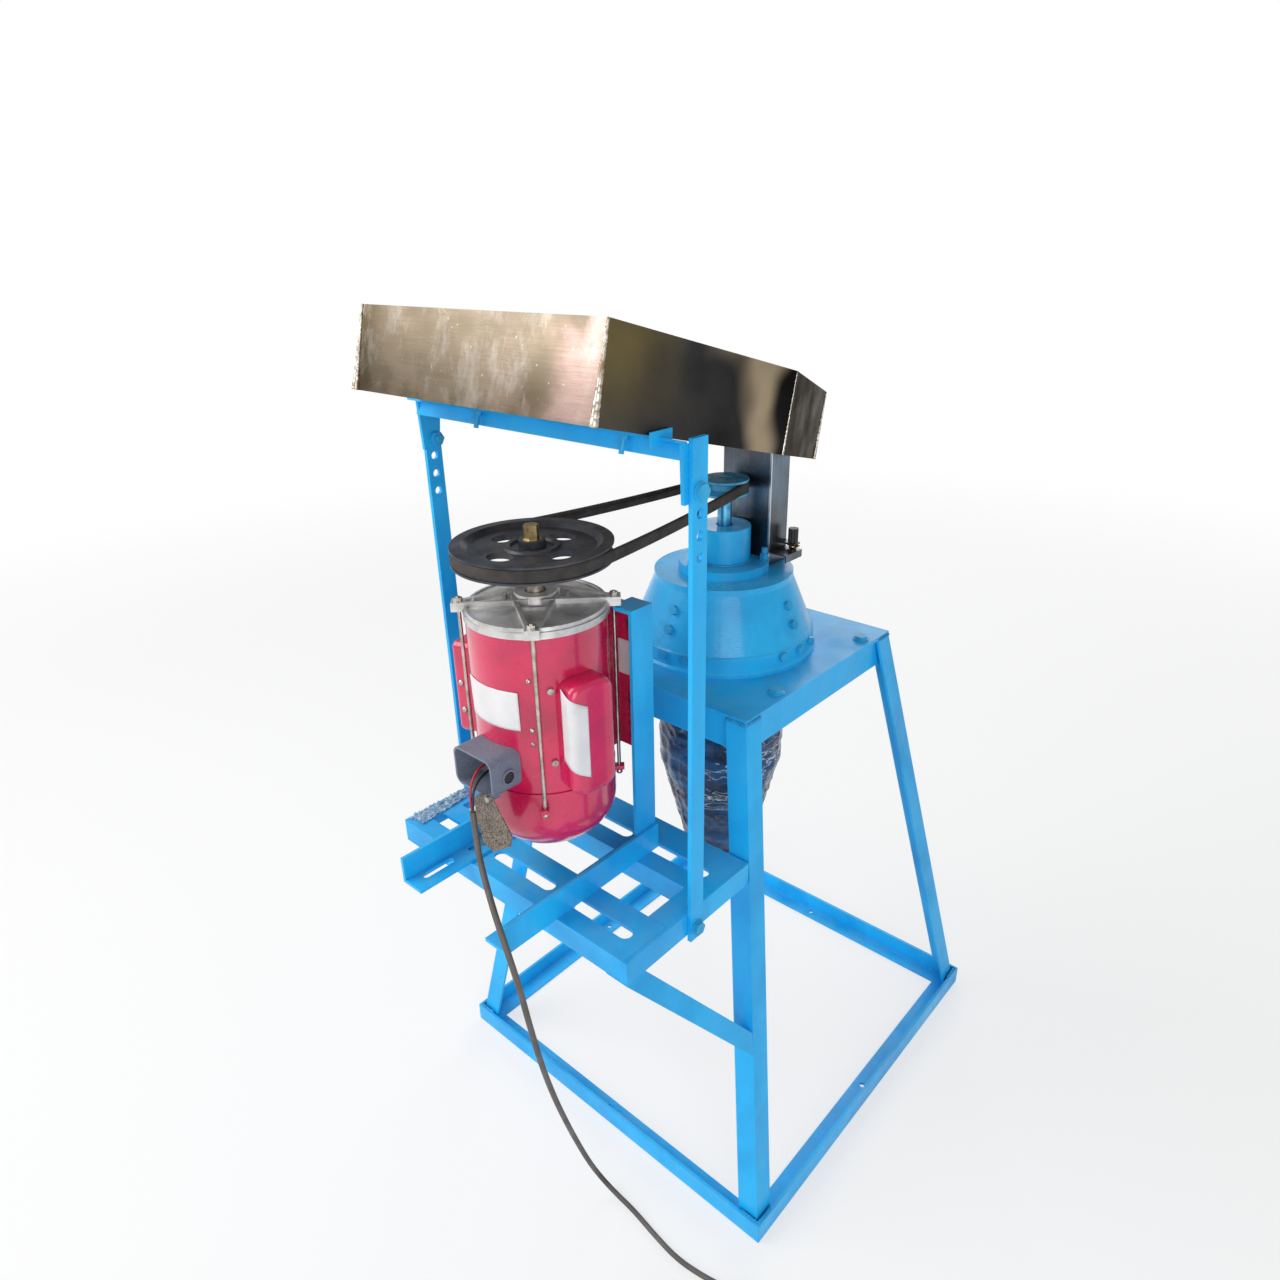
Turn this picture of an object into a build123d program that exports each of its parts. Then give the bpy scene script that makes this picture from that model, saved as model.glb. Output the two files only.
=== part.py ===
from build123d import *
import os
from math import asin, atan, cos, degrees, pi, radians, sin, sqrt, tan

# Vertical-shaft cone pulverizer: angle-iron stand, belt-driven cone mill, stainless feed tray.
# Frame: origin on the floor at the centre of the base ring, +Z up, the motor on the -Y side.
# All sizes are in millimetres.

# Stand
base_width = 672.0
base_depth = 706.0
angle_leg = 35.0
angle_wall = 5.0
anchor_hole_r = 5.0
anchor_inset = 19.0
plate_width = 388.0
plate_depth = 404.0
plate_thick = 6.0
plate_top = 810.0
mill_y = -24.0
top_angle = 50.0
top_wall = 5.0
plate_bolt_r = 6.0
plate_bolt_inset = 18.0
plate_bolt_front = 99.0
plate_bolt_rear = 61.0

# Clearances
weld_gap = 0.3
seat_gap = 0.3
fit_gap = 0.05
bolt_gap = 0.5

# Motor platform, hung below the plate and wider than the tray
platform_below = 198.5
platform_beside = 26.0
platform_wall = 5.0
platform_drop = 35.0
front_y = -514.0
front_width = 81.0
rear_width = 98.0
side_width = 36.0
slot_length = 120.0
slot_width = 20.0
slot_pitch = 142.0
front_slot_y = -475.0
rear_slot_y = -318.0
brace_leg = 35.0
brace_slope = 1.25
brace_run = 276.5
brace_lead = 1.0

# Mill
cover_r = 110.0
cover_above = 126.0
cover_thick = 10.0
cone_base_r = 149.5
cone_band = 33.0
cone_wall = 9.0
flange_r = 71.5
flange_thick = 14.0
housing_r = 41.7
housing_high = 56.0
bearing_r = 26.0
bearing_wide = 15.0
mill_shaft_r = 11.0
liner_thick = 8.0
rotor_gap = 3.0
beater_count = 6
groove_count = 18

# Drive
motor_y = -418.0
belt_above = 61.0
motor_pulley_r = 101.5
motor_rim = 22.0
mill_pulley_r = 36.5
mill_rim = 24.0
belt_top = 17.0
belt_deep = 10.5
belt_side = 19.0
belt_sunk = 0.6

# Motor
shell_r = 91.0
shell_wall = 4.0
shell_long = 216.0
shell_below_belt = 82.0
bell_high_over = 16.0
dome_deep = 111.0
motor_shaft_r = 12.0
foot_back = 9.0
rod_r = 2.5
rod_out = 7.0
rod_below = 27.0
rod_lug = 9.0

# Carriage
skid_beside = 17.0
skid_leg = 40.0
skid_wall = 5.0
skid_long = 287.0
skid_slot = 52.0
clamp_r = 4.5

# Hopper and chute
hopper_half = 204.0
hopper_front = -507.0
hopper_above_belt = 186.0
hopper_tilt = 14.5
hopper_straight = 335.0
hopper_long = 603.0
hopper_rear_half = 92.0
hopper_deep = 100.0
sheet = 2.0
chute_x = 9.0
chute_wide = 90.0
chute_deep = 50.0
chute_beside = 2.3

# Uprights
upright_y = -384.5
upright_wide = 25.0
upright_thick = 6.0
upright_foot = 8.5
upright_foot_bolt = 9.0
upright_short = 25.0
upright_bolt_below = 82.0
hole_pitch = 24.5
cross_leg = 20.0
cross_wall = 3.0
cross_y = -418.0

# Discharge
funnel_r = 101.5
funnel_deep = 204.0
spout_r = 52.0
spout_deep = 419.0
outlet_r = 100.0
film_thick = 3.0

# Cord
cord_r = 4.0
coil_mean_r = 45.0
coil_high = 24.0
coil_wide = 16.0

# Heights and places that follow from the plate's top, the mill, the motor and the tray
floor_z = 0.0
plate_low = plate_top - plate_thick
platform_top = plate_top - platform_below
platform_low = platform_top - platform_drop
platform_half = hopper_half + platform_beside
front_rear_y = front_y + front_width
cover_top = plate_top + cover_above
housing_top = cover_top + flange_thick + housing_high
belt_z = housing_top + belt_above
shell_high = belt_z - shell_below_belt
shell_low = shell_high - shell_long
bell_high = shell_high + bell_high_over
dome_low = shell_low - dome_deep
rod_low = shell_low - rod_below
rod_circle = shell_r + rod_out
foot_y = motor_y + shell_r + foot_back
skid_half = shell_r + skid_beside
skid_rear = foot_y + skid_wall
skid_front = skid_rear - skid_long
post_top = shell_high - 1
hopper_low = belt_z + hopper_above_belt
upright_low = platform_low - upright_foot
upright_high = hopper_low - upright_short
upright_low_bolt_z = platform_low + upright_foot_bolt
upright_bolt_z = hopper_low - upright_bolt_below
chute_y = mill_y + housing_r + chute_beside + chute_deep / 2
funnel_neck_z = plate_low - funnel_deep
spout_low = plate_low - spout_deep
pulley_span = mill_y - motor_y
tilt = radians(hopper_tilt)

os.makedirs("parts", exist_ok=True)


# Where a leg's heel stands at a height: legs lean in from the base ring to the plate's corners
def leg_heel(sx, sy, z):
    t = (z - angle_wall) / (plate_low - angle_wall)
    low_x = base_width / 2 - angle_wall - weld_gap
    low_y = base_depth / 2 - angle_wall - weld_gap
    high_x = plate_width / 2
    high_y = mill_y * sy + plate_depth / 2
    return sx * (low_x + (high_x - low_x) * t), sy * (low_y + (high_y - low_y) * t)


# L outline with its heel at the sketch's origin, legs running to -sx and -sy
def angle_outline(sx, sy, leg_x, leg_y, wall):
    Polygon(
        (0, 0), (-sx * leg_x, 0), (-sx * leg_x, -sy * wall),
        (-sx * wall, -sy * wall), (-sx * wall, -sy * leg_y), (0, -sy * leg_y),
        align=None,
    )


# Four mitred angles around a rectangle, with the flat flange low or high
def angle_ring(width, depth, centre_y, low, leg, wall, flat_low):
    turns = ((0, width, depth), (90, depth, width), (180, width, depth), (270, depth, width))
    flat_z = low if flat_low else low + leg - wall
    for turn, long, across in turns:
        out = Vector(0, -1, 0).rotate(Axis.Z, turn)
        run = Vector(1, 0, 0).rotate(Axis.Z, turn)
        edge = Vector(0, centre_y, 0) + out * (across / 2)
        half = long / 2 - weld_gap / 2
        for height, z, deep in ((wall, flat_z, leg), (leg, low, wall)):
            strip = Plane(origin=(edge.X, edge.Y, z), x_dir=run, z_dir=(0, 0, 1))
            with BuildSketch(strip) as flange:
                Polygon((-half, 0), (half, 0), (half - deep, deep), (deep - half, deep), align=None)
            extrude(flange.sketch, amount=height)


# A hexagon bolt whose head stands on a seat plane and whose shank runs below it, with or without a nut
def hex_bolt(seat, across, head, shank_r, shank, nut_at=None, nut=0.0):
    with BuildSketch(seat) as hexagon:
        RegularPolygon(across / 2, 6, major_radius=False)
    extrude(hexagon.sketch, amount=head)
    with BuildSketch(seat) as round_shank:
        Circle(shank_r)
    extrude(round_shank.sketch, amount=-shank)
    if nut_at is not None:
        with BuildSketch(seat.offset(-nut_at)) as nut_outline:
            RegularPolygon(across / 2, 6, major_radius=False)
        extrude(nut_outline.sketch, amount=-nut)


def save(piece, name):
    piece.label = name
    export_step(piece, f"parts/{name}.step")


mill_plane = Plane(origin=(0, mill_y, 0), x_dir=(1, 0, 0), z_dir=(0, -1, 0))
mill_axis = Axis((0, mill_y, 0), (0, 0, 1))
motor_plane = Plane(origin=(0, motor_y, 0), x_dir=(1, 0, 0), z_dir=(0, -1, 0))
motor_axis = Axis((0, motor_y, 0), (0, 0, 1))


# Turned outline given as (radius, height) points
def turned(points):
    Polygon(*points, align=None)


# Base ring of four welded angles, its lip standing outside
with BuildPart() as base_rails:
    angle_ring(base_width, base_depth, 0, floor_z, angle_leg, angle_wall, True)
    side_x = base_width / 2 - anchor_inset
    side_y = base_depth / 2 - anchor_inset
    with BuildSketch(Plane.XY.offset(floor_z)):
        with Locations((side_x, 0), (-side_x, 0), (0, side_y), (0, -side_y)):
            Circle(anchor_hole_r)
    extrude(amount=angle_wall, mode=Mode.SUBTRACT)
save(base_rails.part, "base_rails")

# Four legs leaning in to the plate
leg_places = {"front_left": (-1, -1), "front_right": (1, -1), "rear_left": (-1, 1), "rear_right": (1, 1)}
for place, (sx, sy) in leg_places.items():
    with BuildPart() as leg:
        for z in (angle_wall, plate_low):
            x, y = leg_heel(sx, sy, z)
            with BuildSketch(Plane(origin=(x, y, z), x_dir=(1, 0, 0), z_dir=(0, 0, 1))):
                angle_outline(sx, sy, angle_leg, angle_leg, angle_wall)
        loft(ruled=True)
    save(leg.part, f"leg_{place}")

# Angles under the plate, inside the legs
top_inset = angle_wall + 2 * weld_gap
with BuildPart() as top_frame:
    angle_ring(
        plate_width - 2 * top_inset, plate_depth - 2 * top_inset, mill_y,
        plate_low - top_angle, top_angle, top_wall, False,
    )
save(top_frame.part, "top_frame_angles")

# Plate that carries the mill, with the outlet hole
plate_bolt_x = plate_width / 2 - plate_bolt_inset
plate_bolt_ys = (mill_y - plate_depth / 2 + plate_bolt_front, mill_y + plate_depth / 2 - plate_bolt_rear)
plate_bolt_places = [(sx * plate_bolt_x, y) for sx in (1, -1) for y in plate_bolt_ys]
plate_head_flat = 19.0
plate_head_high = 7.5
with BuildPart() as top_plate:
    with BuildSketch(Plane(origin=(0, mill_y, plate_low))):
        Rectangle(plate_width, plate_depth)
        Circle(outlet_r, mode=Mode.SUBTRACT)
    extrude(amount=plate_thick)
    with BuildSketch(Plane.XY.offset(plate_low)):
        with Locations(*plate_bolt_places):
            Circle(plate_bolt_r + bolt_gap)
    extrude(amount=plate_thick, mode=Mode.SUBTRACT)
save(top_plate.part, "top_plate")

# Hexagon heads on the plate, with short shanks down to the angles
with BuildPart() as plate_bolts:
    with Locations(*[(x, y, plate_top) for x, y in plate_bolt_places]):
        Cylinder(plate_bolt_r, plate_thick, align=(Align.CENTER, Align.CENTER, Align.MAX))
    with BuildSketch(Plane.XY.offset(plate_top)):
        with Locations(*plate_bolt_places):
            RegularPolygon(plate_head_flat / 2, 6, major_radius=False)
    extrude(amount=plate_head_high)
save(plate_bolts.part, "plate_bolts")

# Platform channels with three slots each, between the side angles
clamp_off = 2.0
clamp_x = skid_half - skid_leg / 2 + clamp_off
rear_end_y = leg_heel(1, -1, platform_low)[1] - weld_gap
rear_front_y = rear_end_y - rear_width
channel_half = platform_half - platform_wall - weld_gap


def channel(near, far, slot_y):
    with BuildPart() as rail:
        with BuildSketch(Plane(origin=(-channel_half, 0, 0), x_dir=(0, 1, 0), z_dir=(1, 0, 0))):
            with BuildLine():
                Polyline(
                    (near, platform_low), (near, platform_top), (far, platform_top), (far, platform_low),
                    (far - platform_wall, platform_low), (far - platform_wall, platform_top - platform_wall),
                    (near + platform_wall, platform_top - platform_wall), (near + platform_wall, platform_low),
                    close=True,
                )
            make_face()
        extrude(amount=2 * channel_half)
        with BuildSketch(Plane.XY.offset(platform_top)):
            with Locations((-slot_pitch, slot_y), (0, slot_y), (slot_pitch, slot_y)):
                SlotOverall(slot_length, slot_width)
        extrude(amount=-platform_wall, mode=Mode.SUBTRACT)
    return rail.part


save(channel(front_y, front_rear_y, front_slot_y), "platform_front_channel")
save(channel(rear_front_y, rear_end_y, rear_slot_y), "platform_rear_channel")

# Side angles: the upright flanges close the channels' ends, the top flanges lie between the channels
upright_bolt_r = 5.0
with BuildPart() as platform_sides:
    for sx in (-1, 1):
        side_start = (sx * platform_half, front_rear_y + weld_gap, platform_top)
        inner = Plane(origin=side_start, x_dir=(1, 0, 0), z_dir=(0, 1, 0))
        with BuildSketch(inner):
            angle_outline(sx, -1, side_width, platform_drop, platform_wall)
        extrude(amount=rear_front_y - front_rear_y - 2 * weld_gap)
        outer = Plane(origin=(sx * platform_half, front_y, platform_top), x_dir=(1, 0, 0), z_dir=(0, 1, 0))
        with BuildSketch(outer):
            with Locations((-sx * platform_wall / 2, platform_drop / 2)):
                Rectangle(platform_wall, platform_drop)
        extrude(amount=rear_end_y - front_y)
    with BuildSketch(Plane(origin=(0, upright_y, upright_low_bolt_z), x_dir=(0, 1, 0), z_dir=(1, 0, 0))):
        Circle(upright_bolt_r + bolt_gap)
    extrude(amount=platform_half, both=True, mode=Mode.SUBTRACT)
save(platform_sides.part, "platform_side_angles")

# Braces from the platform's front corners down to the front legs
brace_low_z = platform_low - brace_run
brace_head_y = front_y - brace_lead
with BuildPart() as braces:
    for sx in (-1, 1):
        foot_x = leg_heel(sx, -1, brace_low_z)[0]
        head_plane = Plane(origin=(sx * platform_half, brace_head_y, platform_low), z_dir=(0, 0, 1))
        foot_plane = Plane(origin=(foot_x, brace_head_y + brace_run / brace_slope, brace_low_z), z_dir=(0, 0, 1))
        for section in (head_plane, foot_plane):
            with BuildSketch(section):
                angle_outline(sx, -1, brace_leg, brace_leg, angle_wall)
        loft(ruled=True)
    lean_low = leg_heel(1, -1, brace_low_z)[1]
    lean_high = leg_heel(1, -1, platform_low)[1]
    lean = atan((lean_high - lean_low) / brace_run)
    leg_spot = (0, lean_low - weld_gap, brace_low_z)
    leg_face = Plane(origin=leg_spot, x_dir=(1, 0, 0), z_dir=(0, cos(lean), -sin(lean)))
    split(bisect_by=leg_face, keep=Keep.BOTTOM)
save(braces.part, "braces")

# Cone housing, hollow, standing on the plate
cone_low = cover_top - cover_thick
band_top = plate_top + cone_band
cone_mid_r = cone_base_r - 6.0
cone_slope = (cone_mid_r - cover_r) / (cone_low - band_top)
ring_inner_r = cone_base_r - 25.0
band_bolt_z = plate_top + 24.0
cone_bolt_zs = (band_top + 28.0, band_top + 56.0)
liner_bolt_r = 4.0
liner_bolt_gap = 0.4
slope_angle = degrees(atan(cone_slope))


# Seats of the liner's bolts: three on the band and two up the cone, on four sides
def liner_seats():
    seats = []
    for side in (0, 90, 180, 270):
        spots = [(side + spread, band_bolt_z, cone_mid_r + 2.6, 0) for spread in (-15, 0, 15)]
        spots += [(side, z, cone_mid_r - cone_slope * (z - band_top), slope_angle) for z in cone_bolt_zs]
        for turn, z, reach, rise in spots:
            out = Vector(1, 0, 0).rotate(Axis.Y, -rise).rotate(Axis.Z, turn)
            flat = Vector(cos(radians(turn)), sin(radians(turn)), 0)
            seats.append(Plane(origin=Vector(0, mill_y, z) + flat * (reach + liner_bolt_gap), z_dir=out))
    return seats


with BuildPart() as cone_housing:
    with BuildSketch(mill_plane):
        turned((
            (cone_base_r, plate_top), (cone_base_r, plate_top + 5), (cone_mid_r + 3, plate_top + 9),
            (cone_mid_r + 2.5, band_top - 2), (cone_mid_r, band_top), (cover_r, cone_low),
            (cover_r - cone_wall, cone_low), (cone_mid_r - cone_wall, band_top),
            (cone_mid_r - cone_wall, plate_top + 8), (ring_inner_r, plate_top + 8), (ring_inner_r, plate_top),
        ))
    revolve(axis=mill_axis)
    for seat in liner_seats():
        with BuildSketch(seat) as hole:
            Circle(liner_bolt_r + bolt_gap)
        extrude(hole.sketch, amount=-cone_wall - 8, mode=Mode.SUBTRACT)
save(cone_housing.part, "cone_housing")

# Grooved grinding liner inside the cone
liner_low = plate_top + 8 + seat_gap
liner_high = cone_low - seat_gap
liner_heights = (liner_low, band_top, liner_high)
groove_r = 3.0


def cone_inside(z):
    if z <= band_top:
        return cone_mid_r - cone_wall
    return cone_mid_r - cone_wall - cone_slope * (z - band_top)


def liner_outside(z):
    return cone_inside(z) - seat_gap


def liner_inside(z):
    return liner_outside(z) - liner_thick


with BuildPart() as liner:
    with BuildSketch(mill_plane):
        outside = [(liner_outside(z), z) for z in liner_heights]
        inside = [(liner_inside(z), z) for z in reversed(liner_heights)]
        turned(outside + inside)
    revolve(axis=mill_axis)
    with BuildSketch(Plane(origin=(0, mill_y, liner_low))):
        with PolarLocations(liner_inside(liner_low), groove_count):
            Circle(groove_r)
    extrude(amount=band_top - liner_low, mode=Mode.SUBTRACT)
save(liner.part, "grinding_liner")

# Hexagon bolts that hold the liner
with BuildPart() as liner_bolts:
    for seat in liner_seats():
        hex_bolt(seat, 13, 6, liner_bolt_r, cone_wall)
save(liner_bolts.part, "liner_bolts")

# Round cover with the feed opening
feed_gap = 4.0
with BuildPart() as cover_disc:
    with BuildSketch(Plane(origin=(0, 0, cone_low))):
        with Locations((0, mill_y)):
            Circle(cover_r)
        with Locations((0, mill_y)):
            Circle(bearing_r + 6, mode=Mode.SUBTRACT)
        with Locations((chute_x, chute_y)):
            Rectangle(chute_wide - 2 * feed_gap, chute_deep - 2 * feed_gap, mode=Mode.SUBTRACT)
    extrude(amount=cover_thick)
save(cover_disc.part, "cover_disc")

# Bearing flange with a flat beside the chute
flange_flat_y = chute_y - chute_deep / 2 - 0.6
flange_top = cover_top + flange_thick
stud_circle = 63.5
stud_spots = [(stud_circle * cos(radians(t)), mill_y + stud_circle * sin(radians(t))) for t in (34, 146, 257)]
stud_r = 5.0
stud_over = 19.0
stud_nut_flat = 13.0
stud_nut_high = 10.0
with BuildPart() as bearing_flange:
    with BuildSketch(Plane(origin=(0, mill_y, cover_top))):
        Circle(flange_r)
        Circle(bearing_r, mode=Mode.SUBTRACT)
    extrude(amount=flange_thick)
    with BuildSketch(Plane.XY.offset(cover_top)):
        with Locations(*stud_spots):
            Circle(stud_r + bolt_gap)
    extrude(amount=flange_thick, mode=Mode.SUBTRACT)
    split(bisect_by=Plane(origin=(0, flange_flat_y, 0), z_dir=(0, 1, 0)), keep=Keep.BOTTOM)
save(bearing_flange.part, "bearing_flange")

# Bearing housing welded on the flange, closed by a thin lid round the shaft
with BuildPart() as bearing_housing:
    with BuildSketch(mill_plane):
        turned((
            (bearing_r, flange_top), (housing_r, flange_top), (housing_r, housing_top - 1),
            (housing_r - 1, housing_top), (mill_shaft_r + 2, housing_top), (mill_shaft_r + 2, housing_top - 4),
            (bearing_r, housing_top - 4),
        ))
    revolve(axis=mill_axis)
save(bearing_housing.part, "bearing_housing")

# Two deep-groove bearings, drawn as rings
lower_bearing_z = flange_top - 8
upper_bearing_z = housing_top - 5 - bearing_wide
with BuildPart() as mill_bearings:
    for z in (lower_bearing_z, upper_bearing_z):
        with BuildSketch(Plane(origin=(0, mill_y, z))):
            Circle(bearing_r - fit_gap)
            Circle(mill_shaft_r + fit_gap, mode=Mode.SUBTRACT)
        extrude(amount=bearing_wide)
save(mill_bearings.part, "mill_bearings")

# Studs and nuts on the flange
with BuildPart() as flange_studs:
    with BuildSketch(Plane.XY.offset(cover_top)):
        with Locations(*stud_spots):
            Circle(stud_r)
    extrude(amount=flange_thick + stud_over)
    with BuildSketch(Plane.XY.offset(flange_top)):
        with Locations(*stud_spots):
            RegularPolygon(stud_nut_flat / 2, 6, major_radius=False)
    extrude(amount=stud_nut_high)
save(flange_studs.part, "flange_studs")

# Sieve ring under the rotor
sieve_r = ring_inner_r - 1.5
with BuildPart() as sieve_ring:
    with BuildSketch(Plane(origin=(0, mill_y, plate_top))):
        Circle(sieve_r)
        for ring in (30, 45, 60, 75, 90):
            with PolarLocations(ring, int(ring / 4)):
                Circle(4, mode=Mode.SUBTRACT)
    extrude(amount=2)
save(sieve_ring.part, "sieve_ring")

# Discharge funnel of sheet, hung under the plate
with BuildPart() as funnel:
    with BuildSketch(mill_plane):
        turned((
            (funnel_r + 22, plate_low), (funnel_r + 22, plate_low - 3), (funnel_r, plate_low - 3),
            (funnel_r, funnel_neck_z), (spout_r, spout_low + 20), (spout_r, spout_low),
            (spout_r - sheet, spout_low), (spout_r - sheet, spout_low + 20), (funnel_r - sheet, funnel_neck_z),
            (funnel_r - sheet, plate_low),
        ))
    revolve(axis=mill_axis)
save(funnel.part, "discharge_funnel")

# Film wrapped round the funnel, a soft skin with the same outline
film_in = funnel_r + seat_gap
spout_in = spout_r + seat_gap
with BuildPart() as film_wrap:
    with BuildSketch(mill_plane):
        turned((
            (film_in, plate_low - 14), (film_in + film_thick, plate_low - 14),
            (film_in + film_thick, funnel_neck_z), (spout_in + film_thick, spout_low + 20),
            (spout_in + film_thick, spout_low + 2), (spout_in, spout_low + 2),
            (spout_in, spout_low + 20), (film_in, funnel_neck_z),
        ))
    revolve(axis=mill_axis)
save(film_wrap.part, "film_wrap")

# Mill shaft from the rotor to the pulley
rotor_low = plate_top + 16
rotor_high = cone_low - 16
mill_shaft_low = rotor_low - 4
mill_shaft_high = belt_z + mill_rim / 2 - 1
with BuildPart() as mill_shaft:
    with BuildSketch(Plane(origin=(0, mill_y, mill_shaft_low))):
        Circle(mill_shaft_r)
    extrude(amount=mill_shaft_high - mill_shaft_low)
save(mill_shaft.part, "mill_shaft")

groove_deep = belt_deep + 3.0
groove_floor = belt_top / 2 - groove_deep * tan(radians(belt_side))


# Points of a rim's V groove, from its lower edge to its upper edge
def groove_points(rim_r):
    return [
        (rim_r, belt_z - belt_top / 2), (rim_r - groove_deep, belt_z - groove_floor),
        (rim_r - groove_deep, belt_z + groove_floor), (rim_r, belt_z + belt_top / 2),
    ]


# Small pulley on the mill, solid to the bore
mill_bore = mill_shaft_r + fit_gap
with BuildPart() as mill_pulley:
    with BuildSketch(mill_plane):
        half = mill_rim / 2
        turned([
            (mill_bore, belt_z - half), (mill_pulley_r, belt_z - half), *groove_points(mill_pulley_r),
            (mill_pulley_r, belt_z + half), (mill_bore, belt_z + half),
        ])
    revolve(axis=mill_axis)
save(mill_pulley.part, "mill_pulley")

# Cone rotor with beaters, turning inside the liner
beater_wide = 10.0
beater_in = 30.0
with BuildPart() as mill_rotor:
    with BuildSketch(mill_plane):
        turned((
            (mill_bore, rotor_low), (liner_inside(rotor_low) - beater_in, rotor_low),
            (liner_inside(rotor_low) - beater_in, rotor_low + 8),
            (liner_inside(rotor_high) - beater_in - 8, rotor_high),
            (mill_bore, rotor_high),
        ))
    revolve(axis=mill_axis)
    for k in range(beater_count):
        turn = 360 / beater_count * k
        out = Vector(1, 0, 0).rotate(Axis.Z, turn)
        side = Vector(0, 1, 0).rotate(Axis.Z, turn)
        middle = Vector(0, mill_y, 0) - side * (beater_wide / 2)
        with BuildSketch(Plane(origin=middle, x_dir=out, z_dir=side * -1)):
            with BuildLine():
                edge_r = sqrt((liner_inside(rotor_low) - rotor_gap) ** 2 - (beater_wide / 2) ** 2)
                Polyline(
                    (beater_in, rotor_low), (edge_r, rotor_low), (edge_r, band_top),
                    (edge_r - cone_slope * (rotor_high - band_top), rotor_high), (beater_in, rotor_high),
                    close=True,
                )
            make_face()
        extrude(amount=-beater_wide)
save(mill_rotor.part, "mill_rotor")

# Belt: a trapezoid swept round both pulleys, a little below their rims
outer_motor = motor_pulley_r - belt_sunk
outer_mill = mill_pulley_r - belt_sunk
half_top = belt_top / 2 - belt_sunk * tan(radians(belt_side)) - seat_gap
half_bottom = half_top - belt_deep * tan(radians(belt_side))
lean_y = (outer_motor - outer_mill) / pulley_span
lean_x = sqrt(1 - lean_y ** 2)
# The path runs on the belt's outer face, from the straight run on the +X side
with BuildPart() as drive_belt:
    with BuildLine(Plane.XY.offset(belt_z)) as loop:
        start = (outer_motor * lean_x, motor_y + outer_motor * lean_y)
        end = (outer_mill * lean_x, mill_y + outer_mill * lean_y)
        Line(start, end)
        ThreePointArc(end, (0, mill_y + outer_mill), (-end[0], end[1]))
        Line((-end[0], end[1]), (-start[0], start[1]))
        ThreePointArc((-start[0], start[1]), (0, motor_y - outer_motor), start)
    middle = loop.edges().sort_by(Axis.X)[-1] @ 0.5
    with BuildSketch(Plane(origin=middle, x_dir=(-lean_x, -lean_y, 0), z_dir=(-lean_y, lean_x, 0))):
        with BuildLine():
            Polyline(
                (0, -half_top), (0, half_top), (belt_deep, half_bottom), (belt_deep, -half_bottom), close=True,
            )
        make_face()
    sweep(path=loop.wires()[0], transition=Transition.RIGHT)
save(drive_belt.part, "drive_belt")

# Hopper tray, built on its tilted floor
tray_plane = Plane(origin=(0, hopper_front, hopper_low), x_dir=(1, 0, 0), z_dir=(0, sin(tilt), cos(tilt)))


def tray_outline(inset):
    bevel = hopper_half - hopper_rear_half
    taper = hopper_long - hopper_straight
    half = hopper_half - inset
    rear = hopper_long - inset
    fold = hopper_straight - inset * (sqrt(bevel ** 2 + taper ** 2) - taper) / bevel
    rear_half = half - (rear - fold) * bevel / taper
    Polygon(
        (-half, inset), (half, inset), (half, fold), (rear_half, rear), (-rear_half, rear), (-half, fold),
        align=None,
    )


# The tray's floor height below a point of its length
def floor_under(y):
    return hopper_low - (y - hopper_front) * tan(tilt)


chute_near = chute_y - chute_deep / 2
chute_far = chute_y + chute_deep / 2
hole_near = (chute_near + sheet - hopper_front) / cos(tilt)
hole_far = (chute_far - sheet - hopper_front) / cos(tilt)
tray_bolt_along = (cross_y + cross_leg / 2 - hopper_front) / cos(tilt)
tray_bolt_spots = ((-95.0, tray_bolt_along), (151.0, tray_bolt_along))
tray_bolt_r = 3.0
with BuildPart() as hopper_tray:
    with BuildSketch(tray_plane):
        tray_outline(0)
    extrude(amount=hopper_deep)
    with BuildSketch(tray_plane.offset(sheet)):
        tray_outline(sheet)
    extrude(amount=hopper_deep, mode=Mode.SUBTRACT)
    with BuildSketch(tray_plane):
        with Locations((chute_x, (hole_near + hole_far) / 2)):
            Rectangle(chute_wide - 2 * sheet, hole_far - hole_near)
        with Locations(*tray_bolt_spots):
            Circle(tray_bolt_r + bolt_gap)
    extrude(amount=sheet, mode=Mode.SUBTRACT)
save(hopper_tray.part, "hopper_tray")

# Square chute from the tray down to the cover, slotted for the gate
gate_z = cover_top + 21.0
gate_thick = 2.0
gate_wide = chute_deep - 2 * sheet - 1.0
with BuildPart() as feed_chute:
    with BuildSketch(Plane(origin=(chute_x, chute_y, cover_top))):
        Rectangle(chute_wide, chute_deep)
        Rectangle(chute_wide - 2 * sheet, chute_deep - 2 * sheet, mode=Mode.SUBTRACT)
    extrude(amount=floor_under(chute_near) - cover_top + 5)
    split(bisect_by=tray_plane, keep=Keep.BOTTOM)
    with BuildSketch(Plane(origin=(chute_x + chute_wide / 2, chute_y, gate_z - 0.5))):
        Rectangle(4 * sheet, gate_wide + 0.6)
    extrude(amount=gate_thick + 1, mode=Mode.SUBTRACT)
    bracket_x = chute_x + chute_wide / 2
    bracket_y = chute_y + chute_deep / 2 - 8
    with BuildSketch(Plane(origin=(bracket_x + 13, bracket_y, gate_z + 9))):
        Rectangle(26, 16)
        with Locations((5, 0)):
            Circle(3 + fit_gap, mode=Mode.SUBTRACT)
    extrude(amount=3)
save(feed_chute.part, "feed_chute")

# Sliding gate with a turned-up pull tab
gate_in = chute_x - chute_wide / 2 + sheet + 0.5
gate_out = bracket_x + 32
with BuildPart() as gate_plate:
    with BuildSketch(Plane.XY.offset(gate_z)):
        with Locations(((gate_in + gate_out) / 2, chute_y)):
            Rectangle(gate_out - gate_in, gate_wide)
    extrude(amount=gate_thick)
    with BuildSketch(Plane.XY.offset(gate_z)):
        with Locations((gate_out - 1, chute_y)):
            Rectangle(2, gate_wide)
    extrude(amount=-10)
save(gate_plate.part, "gate_plate")

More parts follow.
